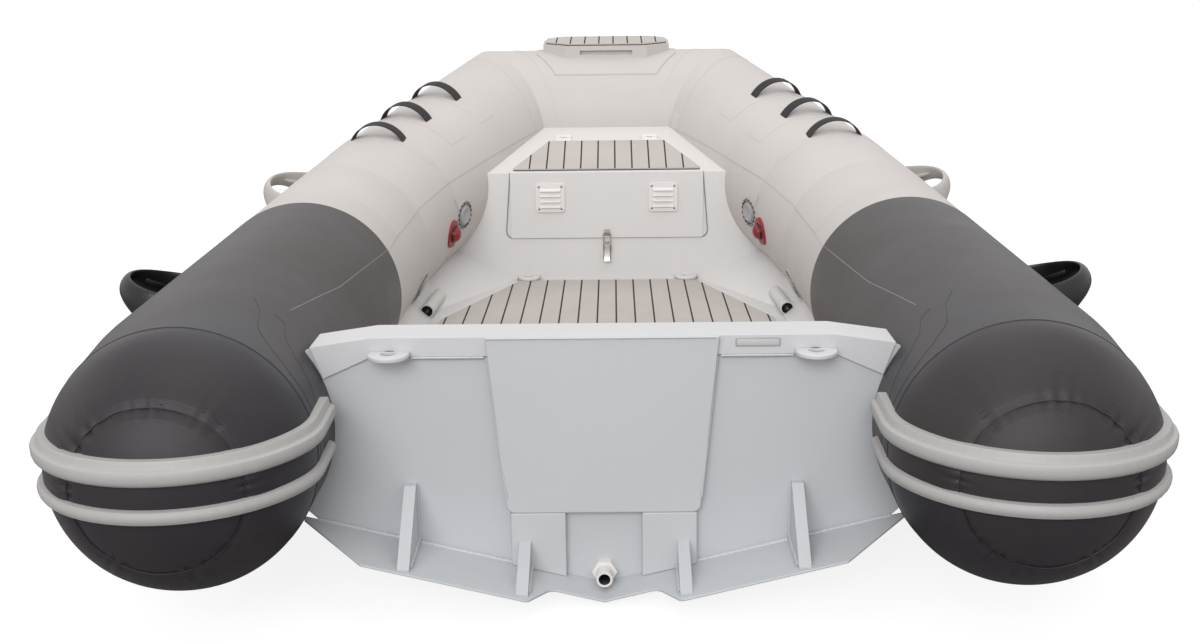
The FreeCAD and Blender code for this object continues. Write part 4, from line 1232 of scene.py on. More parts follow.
@dataclass
class FoamTread:
    """A sheet of planked foam decking.

    Attributes:
        pitch: Distance between grooves.
        border: Plain margin round the planks.
        groove: Width of a groove.
        groove_depth: Depth of a groove.
        thick: Thickness of the sheet.
        edge: Width of the strip along its outer edge.
        PLANK: Material slot of the planks.
        GROOVE: Material slot of the grooves and of the lower half of the edge.
        UNCUT: Slot number that marks foam before it is cut into planks.
    """

    pitch: float = 0.047
    border: float = 0.011
    groove: float = 0.0042
    groove_depth: float = 0.0016
    thick: float = 0.006
    edge: float = 0.0012

    PLANK = 0
    GROOVE = 1
    UNCUT = 2

    def lay(self, mesh: bmesh.types.BMesh, outline: Outline) -> list[bmesh.types.BMFace]:
        """Draw the top with its border.

        Args:
            mesh: Mesh that takes the sheet.
            outline: Corners of the sheet, counter-clockwise.

        Returns:
            The stretches of the groove round the planks that slant.
        """
        least_slant, most_slant, least_length = 0.2, 0.98, 0.05
        face = mesh.faces.new([mesh.verts.new((x, y, self.thick)) for x, y in outline])
        face.normal_update()
        bmesh.ops.inset_region(mesh, faces=[face], thickness=self.edge, depth=0.0)
        bmesh.ops.inset_region(mesh, faces=[face], thickness=self.border, depth=0.0)
        known = set(mesh.faces)
        bmesh.ops.inset_region(mesh, faces=[face], thickness=self.groove, depth=0.0)
        face.material_index = self.UNCUT
        slanted = []
        for rim in [item for item in mesh.faces if item not in known]:
            longest = max(rim.edges, key=lambda edge: edge.calc_length())
            run = (longest.verts[1].co - longest.verts[0].co).normalized()
            if least_slant < abs(run.y) < most_slant and longest.calc_length() > least_length:
                slanted.append(rim)
        return slanted

    def cut_planks(self, mesh: bmesh.types.BMesh, reach: float) -> list[bmesh.types.BMFace]:
        """Cut the foam into planks.

        Args:
            mesh: Mesh of the sheet.
            reach: Half width of the sheet.

        Returns:
            The grooves between the planks.
        """
        count = int(reach / self.pitch) + 1
        lines = [(index + 0.5) * self.pitch for index in range(-count, count)]
        for line in lines:
            for edge_x in (line - self.groove / 2, line + self.groove / 2):
                uncut = [item for item in mesh.faces if item.material_index == self.UNCUT]
                around = {part for item in uncut for part in list(item.edges) + list(item.verts)}
                bmesh.ops.bisect_plane(mesh, geom=uncut + list(around), dist=1e-6,
                                       plane_co=(edge_x, 0, 0), plane_no=(1, 0, 0))
        inside = self.groove * 0.6
        grooves = []
        for item in [item for item in mesh.faces if item.material_index == self.UNCUT]:
            middle = item.calc_center_median().x
            offset = min(abs(line - middle) for line in lines)
            item.material_index = self.PLANK
            if offset < inside:
                item.material_index = self.GROOVE
                grooves.append(item)
        return grooves

    def sink(self, mesh: bmesh.types.BMesh, grooves: list[bmesh.types.BMFace],
             slanted: list[bmesh.types.BMFace]) -> None:
        """Press the grooves into the foam.

        Args:
            mesh: Mesh of the sheet.
            grooves: The grooves between planks.
            slanted: The slanting stretches of the groove round them.
        """
        wall = self.groove * 0.12
        for item in slanted:
            item.material_index = self.GROOVE
        walls = bmesh.ops.inset_individual(mesh, faces=grooves, thickness=wall,
                                           depth=-self.groove_depth)["faces"]
        walls += bmesh.ops.inset_region(mesh, faces=slanted, thickness=wall, depth=-self.groove_depth,
                                        use_boundary=True)["faces"]
        for item in walls:
            item.material_index = self.GROOVE

    def close(self, mesh: bmesh.types.BMesh) -> None:
        """Draw the edge down, light above and dark below, and close the underside.

        Args:
            mesh: Mesh of the sheet.
        """
        rim = [edge for edge in mesh.edges if edge.is_boundary]
        for share, material in ((0.55, self.PLANK), (0.45, self.GROOVE)):
            grown = bmesh.ops.extrude_edge_only(mesh, edges=rim)["geom"]
            rim = only(grown, bmesh.types.BMEdge)
            corners = only(grown, bmesh.types.BMVert)
            bmesh.ops.translate(mesh, vec=(0, 0, -self.thick * share), verts=corners)
            for item in only(grown, bmesh.types.BMFace):
                item.material_index = material
        bmesh.ops.contextual_create(mesh, geom=rim)

    def build(self, name: str, outline: Outline, place: Matrix, body: str, node: str) -> None:
        """Make one sheet.

        Args:
            name: Name of the piece.
            outline: Corners in the x and y of its place, counter-clockwise.
            place: Frame on the surface that it lies on.
            body: CAD body that carries it.
            node: CAD node that it stands for.
        """
        form = Form()
        slanted = self.lay(form.mesh, outline)
        grooves = self.cut_planks(form.mesh, max(abs(x) for x, _ in outline))
        self.sink(form.mesh, grooves, slanted)
        self.close(form.mesh)
        if any(corner.is_boundary for corner in form.mesh.verts):
            log.warning("%s has an open rim", name)
        bmesh.ops.transform(form.mesh, matrix=place, verts=form.mesh.verts)
        piece = form.finish(name, [FOAM, FOAM_GROOVE], body, [node], crease=25)


@dataclass
class Transom:
    """The welded stern: plate, capping, engine pad, webs and stern extension.

    Attributes:
        weld: Radius of a weld bead.
        keel_depth: Depth of the keel under the stern axis.
        plate: Thickness of the bottom plate.
        slope: Rise of the V bottom for each metre off the centreline.
        cap_forward: How much further ahead the capping's folded edge lies.
        cap_front_y: Distance ahead of the transom that only this edge is past.
        webs: Place off the centreline, height and depth of each starboard web.
        web_side: Distance of a web's weld off its middle.
        face_y: Distance of the stern's welds ahead of the transom.
    """

    weld: float = 0.0036
    keel_depth: float = 0.274
    plate: float = 0.004
    slope: float = math.tan(math.radians(13.8))
    cap_forward: float = 0.022
    cap_front_y: float = 0.040
    webs: tuple[tuple[float, float, float], ...] = ((0.308, 0.098, 0.124), (0.127, 0.047, 0.118))
    web_side: float = 0.0105
    face_y: float = -0.0025

    def bottom(self, x: float) -> float:
        """Height of the bottom plate's inner face at a distance off the centreline."""
        return -self.keel_depth + self.plate + abs(x) * self.slope

    def welds(self) -> None:
        """Weld beads where the plates of the stern meet."""
        form = Form()
        for seed, (inner, outer) in enumerate(((0.134, 0.298), (0.318, 0.462)), start=1):
            form.bead(at(inner, self.face_y, self.bottom(inner)), at(outer, self.face_y, self.bottom(outer)),
                      self.weld, seed)
        foot_weld, upright_weld = self.weld * 0.8, self.weld * 0.7
        board_weld, fold_weld = self.weld * 0.55, self.weld * 0.45
        for x, height, reach in self.webs:
            foot = self.bottom(x)
            for side in (x - self.web_side, x + self.web_side):
                form.bead(at(side, -0.004, foot + 0.004), at(side, 0.012 - reach, foot + 0.003),
                          foot_weld, side)
                form.bead(at(side, self.face_y, foot + 0.006), at(side, self.face_y, foot + height - 0.004),
                          upright_weld, side + 3)
        beside_pad = (at(0.180, -0.0052, 0.112), at(0.155, -0.0155, -0.120))
        under_cap = (at(0.185, -0.006, 0.1125), at(0.300, -0.006, 0.1125))
        over_pad = (at(-0.180, -0.0152, 0.1445), at(0.180, -0.0152, 0.1445))
        form.bead(*beside_pad, board_weld, 5)
        form.bead(*under_cap, board_weld, 6)
        form.mirror_over()
        form.bead(*over_pad, fold_weld, 8, pitch=0.009)
        form.finish("stern_welds", [TRANSOM_PAINT])

    def blank_plate(self) -> None:
        """Builder's plate on the capping, with a raised border and no writing."""
        form = Form()
        place = facing_astern(0.242, -0.0052, 0.1335)
        border = rounded(rectangle(0.035, -0.007, 0.007), 0.002)
        panel = rounded(rectangle(0.0325, -0.0048, 0.0048), 0.0015)
        soft = 0.0002
        form.plate(border, 0.0, 0.0009, place, soft, material=1)
        form.plate(panel, 0.0005, 0.0012, place, soft)
        form.finish("blank_plate", [PAD_BOARD, VALVE_GREY])

    def drain_bore_shade(self) -> None:
        """Dark threaded sleeve in the drain's bore: painted shade of the deep bore."""
        form = Form()
        depth, pitch, crest, root = 0.030, 0.003, 0.0078, 0.0092
        profile = [(0.0, -depth)]
        for step in range(10):
            height = step * pitch - depth
            profile += [(crest, height), (root, height + pitch / 2)]
        profile += [(0.0094, 0.0), (0.0097, -0.0305), (0.0, -0.0305)]
        form.turned(profile, facing_astern(0.0, -0.0415, -0.2475), 32)
        form.finish("drain_bore_painted_shade", [BLACK_RUBBER_AND_SHADE])

    def build(self) -> None:
        """Make every piece of the stern, the coated plates with rounded edges."""
        # The capping's lighter paint is painted light from above.
        for node, finish, edge in (
            ("transom_cap", PALE_PAINT_AND_CAP_LIGHT, 0.0018), ("engine_pad", PAD_BOARD, 0.0024),
            ("engine_pad_legs", PAD_BOARD, 0.0022), ("stern_extension", TRANSOM_PAINT, 0.0012),
            ("stern_gussets", TRANSOM_PAINT, 0.0028), ("towing_eyes", PALE_PAINT_AND_CAP_LIGHT, 0.0022),
        ):
            form = Form()
            form.copy_node(node)
            if node == "transom_cap":
                limit = at(0, self.cap_front_y, 0).y
                front = [corner for corner in form.mesh.verts if corner.co.y > limit]
                bmesh.ops.translate(form.mesh, vec=(0, self.cap_forward, 0), verts=front)
            form.soften(edge)
            form.finish(node + "_coated", [finish], stands_for=[node], flat_sided=True)
        self.welds()
        self.blank_plate()
        self.drain_bore_shade()


@dataclass
class TubeFittings:
    """Handles and valves on the tubes.

    Attributes:
        line: Axis of the tubes.
        tubes: The tubes, for the patches under the webbing.
        webbing_ys: Distances of the webbing loops ahead of the transom.
        webbing_half: Half of the reach of a loop across the tube.
        webbing_rise: Height of a loop over its feet.
        webbing_tuck: How much further the loop's arc runs than its feet.
        handle_turn: Angle of the lifting handles in degrees.
        grip_span: Length of a grip along the tube.
        valve_wider: How much wider the inflation valve is than its drawn profile.
        relief_wider: The same for the relief valve.
    """

    line: TubeLine
    tubes: AirTubes
    webbing_ys: tuple[float, ...] = (1.625, 1.775, 1.925)
    webbing_half: float = 0.075
    webbing_rise: float = 0.048
    webbing_tuck: float = 1.06
    handle_turn: float = 30.0
    grip_span: float = 0.166
    valve_wider: float = 1.066
    relief_wider: float = 1.042

    def webbing_loop(self, form: Form, y: float) -> None:
        """Webbing loop across the top of the starboard tube.

        Args:
            form: Mesh that takes the loop.
            y: Distance of the loop ahead of the transom.
        """
        steps, half_thick, half_width, soft, sunk = 24, 0.0015, 0.0155, 0.0012, 0.002
        seat = self.line.seat(y, 90.0)
        along, side, outward = (seat.col[axis].to_3d() for axis in range(3))
        bow = arc_radius(self.webbing_half, self.webbing_rise)
        foot = math.sqrt(self.line.radius ** 2 - self.webbing_half ** 2)
        pivot = seat.translation + outward * (foot + self.webbing_rise - bow - self.line.radius)
        sweep = math.asin(self.webbing_half / bow) * self.webbing_tuck
        spots = []
        for step in range(steps + 1):
            turn = sweep * (1 - 2 * step / steps)
            spots.append(pivot + (side * math.sin(turn) + outward * math.cos(turn)) * (bow - sunk))
        frames = [axes(spot, heading, along, heading.cross(along))
                  for spot, heading in zip(spots, directions(spots))]
        form.sweep(rounded(rectangle(half_width, -half_thick, half_thick), soft, 2), frames)

    def moulded_handle(self, form: Form, y: float, reach: float) -> None:
        """Moulded lifting handle: a welded base and a flared grip along the tube.

        Args:
            form: Mesh that takes the handle.
            y: Middle of the handle ahead of the transom.
            reach: How far the grip stands off the skin.
        """
        seat = self.line.seat(y, self.handle_turn)
        along, side, outward = (seat.col[axis].to_3d() for axis in range(3))
        base_span, base_steps, base_cut = 21.0, 20, 0.35
        lengths = [1 - abs(2 * step / base_steps - 1) ** 6 * base_cut for step in range(base_steps + 1)]
        base = rounded([(-0.104, -0.004), (0.104, -0.004), (0.098, 0.005), (-0.098, 0.005)], 0.003, 2)
        form.sweep(base, self.line.band(seat, base_span, lengths))
        sunk = 0.010
        height = reach - sunk
        bow = arc_radius(self.grip_span / 2, height)
        sweep = math.asin(self.grip_span / 2 / bow)
        grip = []
        grip_steps, past_feet = 28, 1.03
        grip_width, grip_thick, foot_wider, foot_thinner = 0.018, 0.0095, 0.019, 0.0035
        for step in range(grip_steps + 1):
            share = 2 * step / grip_steps - 1
            turn = sweep * share * past_feet
            flare = abs(share) ** 2.4
            width = grip_width + foot_wider * flare
            thick = grip_thick - foot_thinner * flare
            spot = seat.translation + along * (bow * math.sin(turn))
            spot += outward * (height - bow + bow * math.cos(turn))
            heading = (along * math.cos(turn) - outward * math.sin(turn)).normalized()
            grip.append(axes(spot, heading, side * width, heading.cross(side) * thick))
        section = []
        corners, hollow, hollow_from = 20, 0.45, -0.3
        for step in range(corners):
            turn = math.tau * step / corners
            flat = hollow if math.sin(turn) < hollow_from else 1.0
            section.append((math.cos(turn), math.sin(turn) * flat))
        form.sweep(section, grip)
        self.handle_webs(form, seat, bow, height, sweep)

    def handle_webs(self, form: Form, seat: Matrix, bow: float, height: float, sweep: float) -> None:
        """Webs in the two corners under a grip.

        Args:
            form: Mesh that takes them.
            seat: Frame on the skin at the middle of the handle.
            bow: Radius of the grip.
            height: Height of the grip's top.
            sweep: Half of the grip's angle in radians.
        """
        steps, half_thick, soft = 8, 0.0035, 0.0012
        outer_end, run, foot_length, foot_z = 0.97, 0.55, 0.030, 0.002
        web = []
        for step in range(steps + 1):
            turn = sweep * (outer_end - run * step / steps)
            web.append((bow * math.sin(turn), height - bow + bow * math.cos(turn)))
        inner_x, inner_z = web[-1]
        for step in range(1, steps + 1):
            share = step / steps
            web.append((inner_x + foot_length * share ** 2, inner_z + (foot_z - inner_z) * share))
        along, side, outward = (seat.col[axis].to_3d() for axis in range(3))
        for way in SIDES:
            place = axes(seat.translation, along * way, outward, side * way)
            form.plate(web, -half_thick, half_thick, place, soft)

    def valve(self, form: Form, y: float, turn: float) -> None:
        """Inflation valve: flange, cap, and a ring of small ribs on a dark band.

        Args:
            form: Mesh that takes the valve.
            y: Distance of the valve ahead of the transom.
            turn: Its angle round the tube in degrees.
        """
        place = self.line.seat(y, turn) @ Matrix.Diagonal((self.valve_wider, self.valve_wider, 1.0, 1.0))
        flange = [(0, -0.004), (0.0375, -0.004), (0.0375, 0.0016), (0.036, 0.0028), (0.030, 0.0030),
                  (0.0292, 0.0010), (0.0272, 0.0010), (0.0265, 0.0034), (0.0, 0.0034)]
        form.turned(flange, place)
        cap = [(0, 0.003), (0.0225, 0.003), (0.0232, 0.0052), (0.0226, 0.0072), (0.0195, 0.0078),
               (0.017, 0.0060), (0.0, 0.0056)]
        form.turned(cap, place)
        ribs, rib_ring, rib_foot, rib_top = 16, 0.0330, 0.002, 0.0042
        rib = rounded(rectangle(0.0012, -0.003, 0.003), 0.0008, 2)
        for step in range(ribs):
            turned = place @ Matrix.Rotation(math.tau * step / ribs, 4, "Z")
            spot = turned @ Matrix.Translation((rib_ring, 0, 0))
            form.plate(rib, rib_foot, rib_top, spot, material=1)
        band = [(0.0285, 0.0008), (0.0293, 0.0036), (0.0300, 0.0036), (0.0305, 0.0008)]
        form.turned(band + band[:1], place, material=1)

    def relief_valve(self, form: Form, y: float, turn: float) -> None:
        """Relief valve: red flange, black ring and a red domed guard.

        Args:
            form: Mesh that takes the valve.
            y: Distance of the valve ahead of the transom.
            turn: Its angle round the tube in degrees.
        """
        place = self.line.seat(y, turn) @ Matrix.Diagonal((self.relief_wider, self.relief_wider, 1.0, 1.0))
        flange = [(0, -0.004), (0.0355, -0.004), (0.0355, 0.002), (0.033, 0.0048), (0.0225, 0.0050),
                  (0.0, 0.0050)]
        form.turned(flange, place)
        form.turned([(0, 0.004), (0.0215, 0.004), (0.0210, 0.0095), (0.0, 0.0095)], place, material=1)
        foot, radius, height = 0.009, 0.0185, 0.0135
        dome = [(0, foot)]
        for degrees in range(0, 91, 15):
            lean = math.radians(degrees)
            dome.append((radius * math.cos(lean), foot + height * math.sin(lean)))
        form.turned(dome, place)

    def build(self) -> None:
        """Make the handles and valves on both sides."""
        for side, word in SIDES.items():
            form = Form()
            for y in self.webbing_ys:
                self.webbing_loop(form, y)
            if side < 0:
                form.flip_over()
            form.finish("webbing_loops_" + word, [WEBBING], stands_for=["grab_handles_" + word])
        form = Form()
        for y in self.webbing_ys:
            self.tubes.patch_band(form, y, turn=90.0, length=0.075, span=96.0)
        form.mirror_over()
        form.finish("webbing_patches", [LIGHT_FABRIC])
        for word, y, reach, finish in (
            ("aft", 0.450, 0.084, BLACK_RUBBER_AND_SHADE), ("forward", 1.450, 0.072, GREY_RUBBER),
        ):
            form = Form()
            self.moulded_handle(form, y, reach)
            form.mirror_over()
            form.finish("lifting_handles_%s_moulded" % word, [finish],
                        stands_for=["lifting_handles_" + word])
        form = Form()
        self.valve(form, y=1.305, turn=205.0)
        self.valve(form, y=1.671, turn=187.0)
        form.mirror_over()
        form.finish("inflation_valve_pieces", [VALVE_GREY, BLACK_RUBBER_AND_SHADE], stands_for=["inflation_valves"])
        form = Form()
        self.relief_valve(form, y=1.563, turn=191.0)
        form.mirror_over()
        form.finish("relief_valve_pieces", [VALVE_RED, BLACK_RUBBER_AND_SHADE], stands_for=["relief_valves"])


@dataclass
class Cockpit:
    """Deck, foam floor, conduits and lashing eyes.

    Attributes:
        deck: Height of the deck over the stern axis.
        locker_y: Distance of the locker's face ahead of the transom.
        tread_gap: Distance of the foam floor from that face.
        tread_aft: Distance of its aft edge ahead of the transom.
        tread_wide: Its half width beside the cockpit.
        tread_narrow: Its half width at the locker.
        tread_turn: Distance ahead of the transom at which it starts to narrow.
        drain_x: Distance of the small drains off the centreline.
    """

    deck: float = -0.152
    locker_y: float = 1.718
    tread_gap: float = 0.037
    tread_aft: float = 0.070
    tread_wide: float = 0.412
    tread_narrow: float = 0.241
    tread_turn: float = 1.245
    drain_x: float = 0.238

    def floor_tread(self) -> None:
        """Foam floor of the cockpit."""
        half = [(self.tread_wide, self.tread_aft), (self.tread_wide, self.tread_turn),
                (self.tread_narrow, self.locker_y - self.tread_gap)]
        outline = rounded(both_sides(half), 0.018)
        place = axes(at(0, 0, self.deck), STARBOARD, BOW, UP)
        FoamTread(border=0.014).build("floor_tread", outline, place, HULL, "floor_pad")

    def conduit_collars(self) -> None:
        """Collars and dark insides of the two cable conduits."""
        form = Form()
        mouth = at(0.450, 1.290, self.deck + 0.017)
        run = (at(0.436, 1.440, self.deck + 0.024) - mouth).normalized()
        side = run.orthogonal().normalized()
        place = axes(mouth, side, run.cross(side), -run)
        collar = [(0.0145, -0.02), (0.0145, 0.001), (0.0175, 0.002), (0.0182, 0.0), (0.0178, -0.010),
                  (0.0166, -0.02), (0.0145, -0.02)]
        form.turned(collar, place, 32)
        inside = [(0.0, -0.05), (0.0143, -0.05), (0.0143, -0.006), (0.012, -0.008), (0.0, -0.030)]
        form.turned(inside, place, 32, material=1)
        form.mirror_over()
        form.finish("conduit_collars", [CONDUIT, BLACK_RUBBER_AND_SHADE])

    def limber_holes(self) -> None:
        """Black half-discs for the dark insides of the two half-round drains at the foot of the locker:
        painted shade of the openings.
        """
        form = Form()
        radius, steps, back, front, clear = 0.0126, 16, -0.0045, -0.0008, 0.0002
        half_round = []
        for step in range(steps + 1):
            turn = math.pi * step / steps
            half_round.append((radius * math.cos(turn), radius * math.sin(turn)))
        form.plate(half_round, back, front, facing_astern(self.drain_x, self.locker_y, self.deck + clear))
        form.mirror_over()
        form.finish("limber_hole_shade", [BLACK_RUBBER_AND_SHADE])

    def build(self) -> None:
        """Make every piece of the cockpit."""
        self.floor_tread()
        form = Form()
        form.copy_node("floor_eyes")
        form.soften(0.0022)
        form.finish("floor_eyes_cast", [HULL_PAINT], stands_for=["floor_eyes"], flat_sided=True)
        self.conduit_collars()
        self.limber_holes()


@dataclass
class Locker:
    """The bow locker with its lid, tread, vents, hinges and latch.

    Attributes:
        fold_y: Distance of the locker's face ahead of the transom.
        fold_z: Height of the fold over the stern axis.
        slope: Slope of the top in degrees.
        drop: How far the lid's front hangs under the fold.
        foot_half: Half width of its foot.
        fold_half: Half width at the fold.
        rear_half: Half width of the top's rear edge.
        depth: Length of the top up its slope.
        sheet_top: Height of the lid's sheet over the locker's top.
        vent_x: Distance of a vent's middle off the centreline.
        vent_drop: Distance of a vent's middle under the fold.
        vent_face: How far a vent's face stands off the locker's.
        screw_reach: Distance of its screws off this middle, both ways.
    """

    fold_y: float = 1.718
    fold_z: float = 0.147
    slope: float = 15.0
    drop: float = 0.181
    foot_half: float = 0.279
    fold_half: float = 0.265
    rear_half: float = 0.193
    depth: float = 0.232
    sheet_top: float = 0.0045
    vent_x: float = 0.155
    vent_drop: float = 0.068
    vent_face: float = 0.0105
    screw_reach: float = 0.031

    def paint_gap_shade(self) -> None:
        """Grey bead all round the lid: painted shade of the thin gap round it."""
        form = Form()
        above, under, corner_round = 0.1, 0.01, 0.022
        fold, foot = self.fold_z, self.fold_z - self.drop
        outline = rounded([(-self.fold_half, fold + above), (self.fold_half, fold + above),
                           (self.foot_half, foot), (-self.foot_half, foot)], corner_round, 8)
        front = [(self.fold_half, fold)] + [spot for spot in outline if spot[1] < fold - under]
        front.append((-self.fold_half, fold))
        top = both_sides([(self.fold_half, 0.0), (self.rear_half, self.depth)])
        bead = rounded(rectangle(0.0016, 0.0, 0.0018), 0.0006, 2)
        upright = facing_astern(0, self.fold_y, 0)
        for place, path in ((upright, front), (sloping(self.fold_y, self.fold_z, self.slope), top)):
            for start, end in zip(path, path[1:]):
                heading = Vector((end[0] - start[0], end[1] - start[1], 0)).normalized()
                side = Vector((-heading.y, heading.x, 0))
                form.sweep(bead, [place @ axes(Vector((*spot, 0)), heading, side, UP)
                                  for spot in (start, end)])
        form.finish("lid_gap_shade_line", [GAP_SHADE], LID)

    def screw(self, form: Form, place: Matrix) -> None:
        """Countersunk screw with a dark crossed slot, a thin black cross on the head: painted shade of the
        slot.

        Args:
            form: Mesh that takes the screw.
            place: Frame on the face that it sits in.
        """
        head = [(0, -0.001), (0.0034, -0.001), (0.0034, 0.0002), (0.0026, 0.0009), (0, 0.0011)]
        form.turned(head, place, 16)
        # The slot's black is painted shade of the recess.
        slot, slot_foot, slot_top = rectangle(0.0019, -0.0004, 0.0004), 0.0006, 0.00125
        for quarter in (0, 1):
            bar = place @ Matrix.Rotation(quarter * math.pi / 2, 4, "Z")
            form.plate(slot, slot_foot, slot_top, bar, material=1)

    def screws(self) -> None:
        """Four screws in each vent."""
        form = Form()
        face_y = self.fold_y - self.vent_face
        for side in SIDES:
            for across in (-self.screw_reach, self.screw_reach):
                for rise in (-self.screw_reach, self.screw_reach):
                    middle_z = self.fold_z - self.vent_drop
                    self.screw(form, facing_astern(side * self.vent_x + across, face_y, middle_z + rise))
        form.finish("vent_screws", [STEEL, BLACK_RUBBER_AND_SHADE], LID)

    def build(self) -> None:
        """Make every piece of the locker."""
        for node, finish, edge, body in (
            ("locker_box", HULL_PAINT, 0.0016, HULL), ("locker_lid", HULL_PAINT, 0.0012, LID),
            ("lid_vents", WHITE, 0.0009, LID), ("hinge_leaves_fixed", WHITE, 0.0005, HULL),
            ("hinge_leaves_lid", WHITE, 0.0005, LID), ("latch_base", STEEL, 0.0007, HULL),
            ("latch_catch", STEEL, 0.0006, LID),
        ):
            form = Form()
            form.copy_node(node)
            form.soften(edge)
            form.finish(node + "_finished", [finish], body, [node], flat_sided=True)
        outline = rounded(both_sides([(0.259, 0.004), (0.164, 0.206)]), 0.006)
        sheet = Matrix.Translation((0, 0, self.sheet_top))
        place = sloping(self.fold_y, self.fold_z, self.slope) @ sheet
        FoamTread(border=0.009).build("lid_tread", outline, place, LID, "lid_pad")
        self.screws()
        self.paint_gap_shade()


@dataclass
class BowStep:
    """The moulded boarding step on the bow tube.

    Attributes:
        axis_y: Distance of the bow tube's axis ahead of the transom.
        top: Height of the step's top over the stern axis, at the tube's axis.
        lean: Slope of the top in degrees.
    """

    axis_y: float = 2.250
    top: float = 0.469
    lean: float = 4.0

    def build(self) -> None:
        """Make the step and its tread."""
        form = Form()
        form.copy_node("bow_step")
        form.soften(0.004, 3)
        form.finish("bow_step_moulded", [LIGHT_FABRIC], stands_for=["bow_step"], flat_sided=True)
        half = [(0.1135, -0.0835), (0.1815, -0.0358), (0.1815, 0.0558), (0.1315, 0.0955)]
        outline = rounded(both_sides(half), 0.008)
        place = sloping(self.axis_y, self.top, self.lean)
        FoamTread(pitch=0.043, border=0.008).build("bow_step_tread", outline, place, HULL, "bow_step_pad")


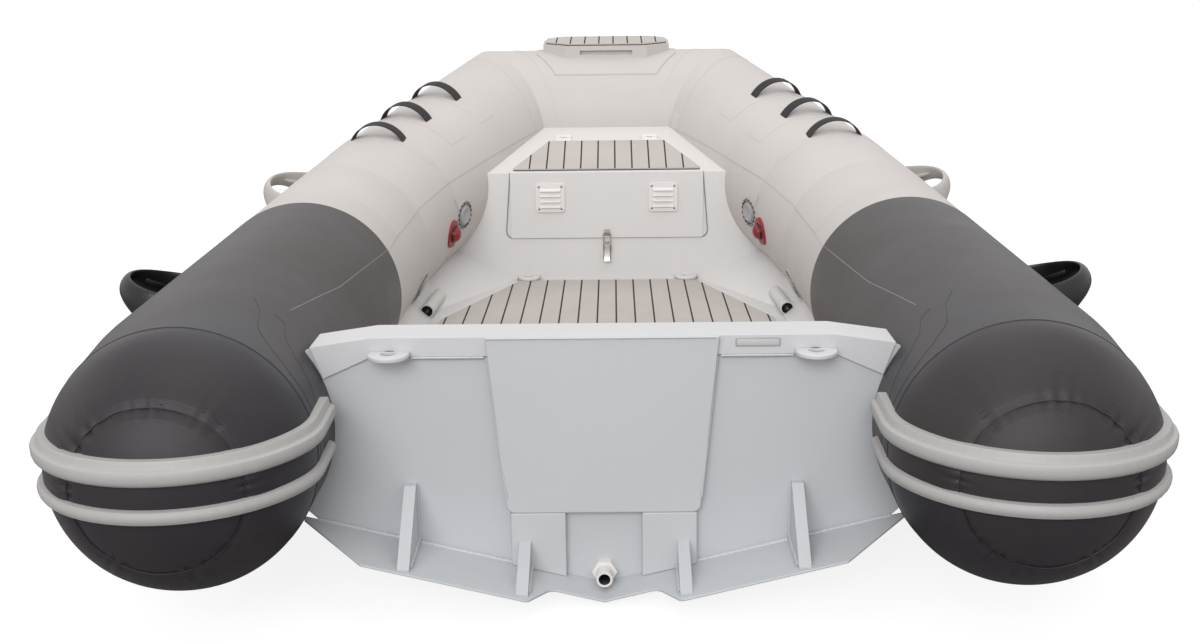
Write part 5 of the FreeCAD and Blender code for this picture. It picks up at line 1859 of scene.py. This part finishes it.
@dataclass
class Studio:
    """Floor, lights, background and the camera at the photograph's angle.

    Attributes:
        floor_z: Height of the floor, just under the keel.
        eye: Place of the camera.
        pitch: Degrees that it looks down.
        yaw: Degrees that it looks to port.
        roll: Degrees that it leans.
        lens: Focal length.
        sensor: Width of the sensor, in the lens's units.
    """

    floor_z: float = -0.104
    eye: tuple[float, float, float] = (0.021, -3.160, 0.888)
    pitch: float = 14.45
    yaw: float = 0.65
    roll: float = -0.67
    lens: float = 42.0
    sensor: float = 36.0

    def camera(self) -> None:
        """Set the scene's camera."""
        data = bpy.data.cameras.new("camera")
        data.lens = self.lens
        data.sensor_width = self.sensor
        data.sensor_fit = "HORIZONTAL"
        data.clip_end = 200.0
        camera = bpy.data.objects.new("camera", data)
        bpy.context.scene.collection.objects.link(camera)
        camera.location = self.eye
        turn = Matrix.Rotation(math.radians(self.yaw), 4, "Z")
        turn = turn @ Matrix.Rotation(math.radians(90 - self.pitch), 4, "X")
        turn = turn @ Matrix.Rotation(math.radians(self.roll), 4, "Z")
        camera.rotation_euler = turn.to_euler()
        bpy.context.scene.camera = camera

    def lamp(self, name: str, place: Vector, target: Vector, size: tuple[float, float], power: float,
             colour: tuple[float, float, float]) -> None:
        """Rectangular soft light.

        Args:
            name: Name of the lamp.
            place: Where it stands.
            target: What it faces.
            size: Its width and height.
            power: Its power in watts.
            colour: Colour of its light.
        """
        data = bpy.data.lights.new(name, "AREA")
        data.shape = "RECTANGLE"
        data.size, data.size_y = size
        data.energy = power
        data.color = colour
        lamp = bpy.data.objects.new(name, data)
        bpy.context.scene.collection.objects.link(lamp)
        lamp.location = place
        lamp.rotation_euler = (target - place).to_track_quat("-Z", "Y").to_euler()

    def background(self) -> None:
        """World light, seen as white."""
        world = bpy.data.worlds.new("studio")
        world.use_nodes = True
        bpy.context.scene.world = world
        tree = world.node_tree
        plain = tree.nodes["Background"]
        fill_in(plain, {"Color": (1.0, 0.99, 0.985, 1), "Strength": 0.86})
        seen = tree.nodes.new("ShaderNodeBackground")
        fill_in(seen, {"Color": (1, 1, 1, 1), "Strength": 1.0})
        path = tree.nodes.new("ShaderNodeLightPath")
        mix = tree.nodes.new("ShaderNodeMixShader")
        tree.links.new(path.outputs["Is Camera Ray"], mix.inputs["Fac"])
        tree.links.new(plain.outputs["Background"], mix.inputs[1])
        tree.links.new(seen.outputs["Background"], mix.inputs[2])
        tree.links.new(mix.outputs["Shader"], tree.nodes["World Output"].inputs["Surface"])

    def floor_material(self) -> bpy.types.Material:
        """White to the camera but for a faint shadow, and darker in what it throws back.

        Returns:
            The material.
        """
        material = bpy.data.materials.new("floor")
        material.use_nodes = True
        tree = material.node_tree
        shader = tree.nodes["Principled BSDF"]
        fill_in(shader, {"Roughness": 0.9, "Specular IOR Level": 0.1})
        glow = tree.nodes.new("ShaderNodeEmission")
        glow.inputs["Strength"].default_value = 1.14
        seen = tree.nodes.new("ShaderNodeLightPath").outputs["Is Camera Ray"]
        tint = tree.nodes.new("ShaderNodeMix")
        tint.data_type = "RGBA"
        fill_in(tint, {"A": (0.26, 0.25, 0.25, 1), "B": (0.95, 0.95, 0.95, 1)})
        tree.links.new(seen, tint.inputs["Factor"])
        tree.links.new(tint.outputs["Result"], shader.inputs["Base Color"])
        glow_share = 0.75
        mix = tree.nodes.new("ShaderNodeMixShader")
        tree.links.new(calculated(tree, "MULTIPLY", seen, glow_share), mix.inputs["Fac"])
        tree.links.new(shader.outputs["BSDF"], mix.inputs[1])
        tree.links.new(glow.outputs["Emission"], mix.inputs[2])
        tree.links.new(mix.outputs["Shader"], tree.nodes["Material Output"].inputs["Surface"])
        return material

    def floor(self) -> None:
        """Wide floor under the boat."""
        half_width = 60.0
        mesh = bmesh.new()
        bmesh.ops.create_grid(mesh, x_segments=1, y_segments=1, size=half_width)
        bmesh.ops.translate(mesh, vec=(0, 0, self.floor_z), verts=mesh.verts)
        data = bpy.data.meshes.new("floor")
        mesh.to_mesh(data)
        mesh.free()
        data.materials.append(self.floor_material())
        floor = bpy.data.objects.new("floor", data)
        bpy.context.scene.collection.objects.link(floor)

    def build(self) -> None:
        """Set up the whole studio."""
        self.camera()
        self.background()
        self.floor()
        self.lamp("overhead", place=Vector((0.0, 0.3, 4.2)), target=Vector((0, 0.3, 0.2)), size=(4.5, 5.5),
                  power=50.0, colour=(1.0, 0.98, 0.96))
        self.lamp("from_astern", place=Vector((-1.6, -8.6, 4.4)), target=Vector((0, 0.2, 0.2)),
                  size=(6.0, 4.0), power=430.0, colour=(0.985, 0.99, 1.0))
        bpy.context.scene.view_settings.view_transform = "Standard"


def dress_node(node: str, finish: Finish) -> None:
    """Give a CAD node that keeps its own shape a finish.

    Args:
        node: Name of the node.
        finish: Finish that it gets.
    """
    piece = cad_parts[node]
    if not piece.material_slots:
        piece.data.materials.append(None)
    for slot in piece.material_slots:
        slot.material = finish.material()
    log.info("%s keeps its CAD shape in %s", node, finish.name)


def main() -> None:
    """Build the boat piece by piece, then the studio."""
    logging.basicConfig(level=logging.INFO, format="%(name)s: %(message)s")
    line = TubeLine()
    tubes = AirTubes(line)
    tubes.build()
    RubStrakes(line, tubes).build()
    Transom().build()
    TubeFittings(line, tubes).build()
    Cockpit().build()
    Locker().build()
    BowStep().build()
    for node, finish in (
        ("hull_bottom", HULL_PAINT), ("keel_guard", HULL_PAINT), ("lifting_strakes", HULL_PAINT),
        ("transom_plate", TRANSOM_PAINT), ("drain_spigot", WHITE), ("bow_eye", STEEL),
        ("cable_conduits", CONDUIT),
    ):
        dress_node(node, finish)
    Studio().build()


if __name__ == "__main__":
    main()
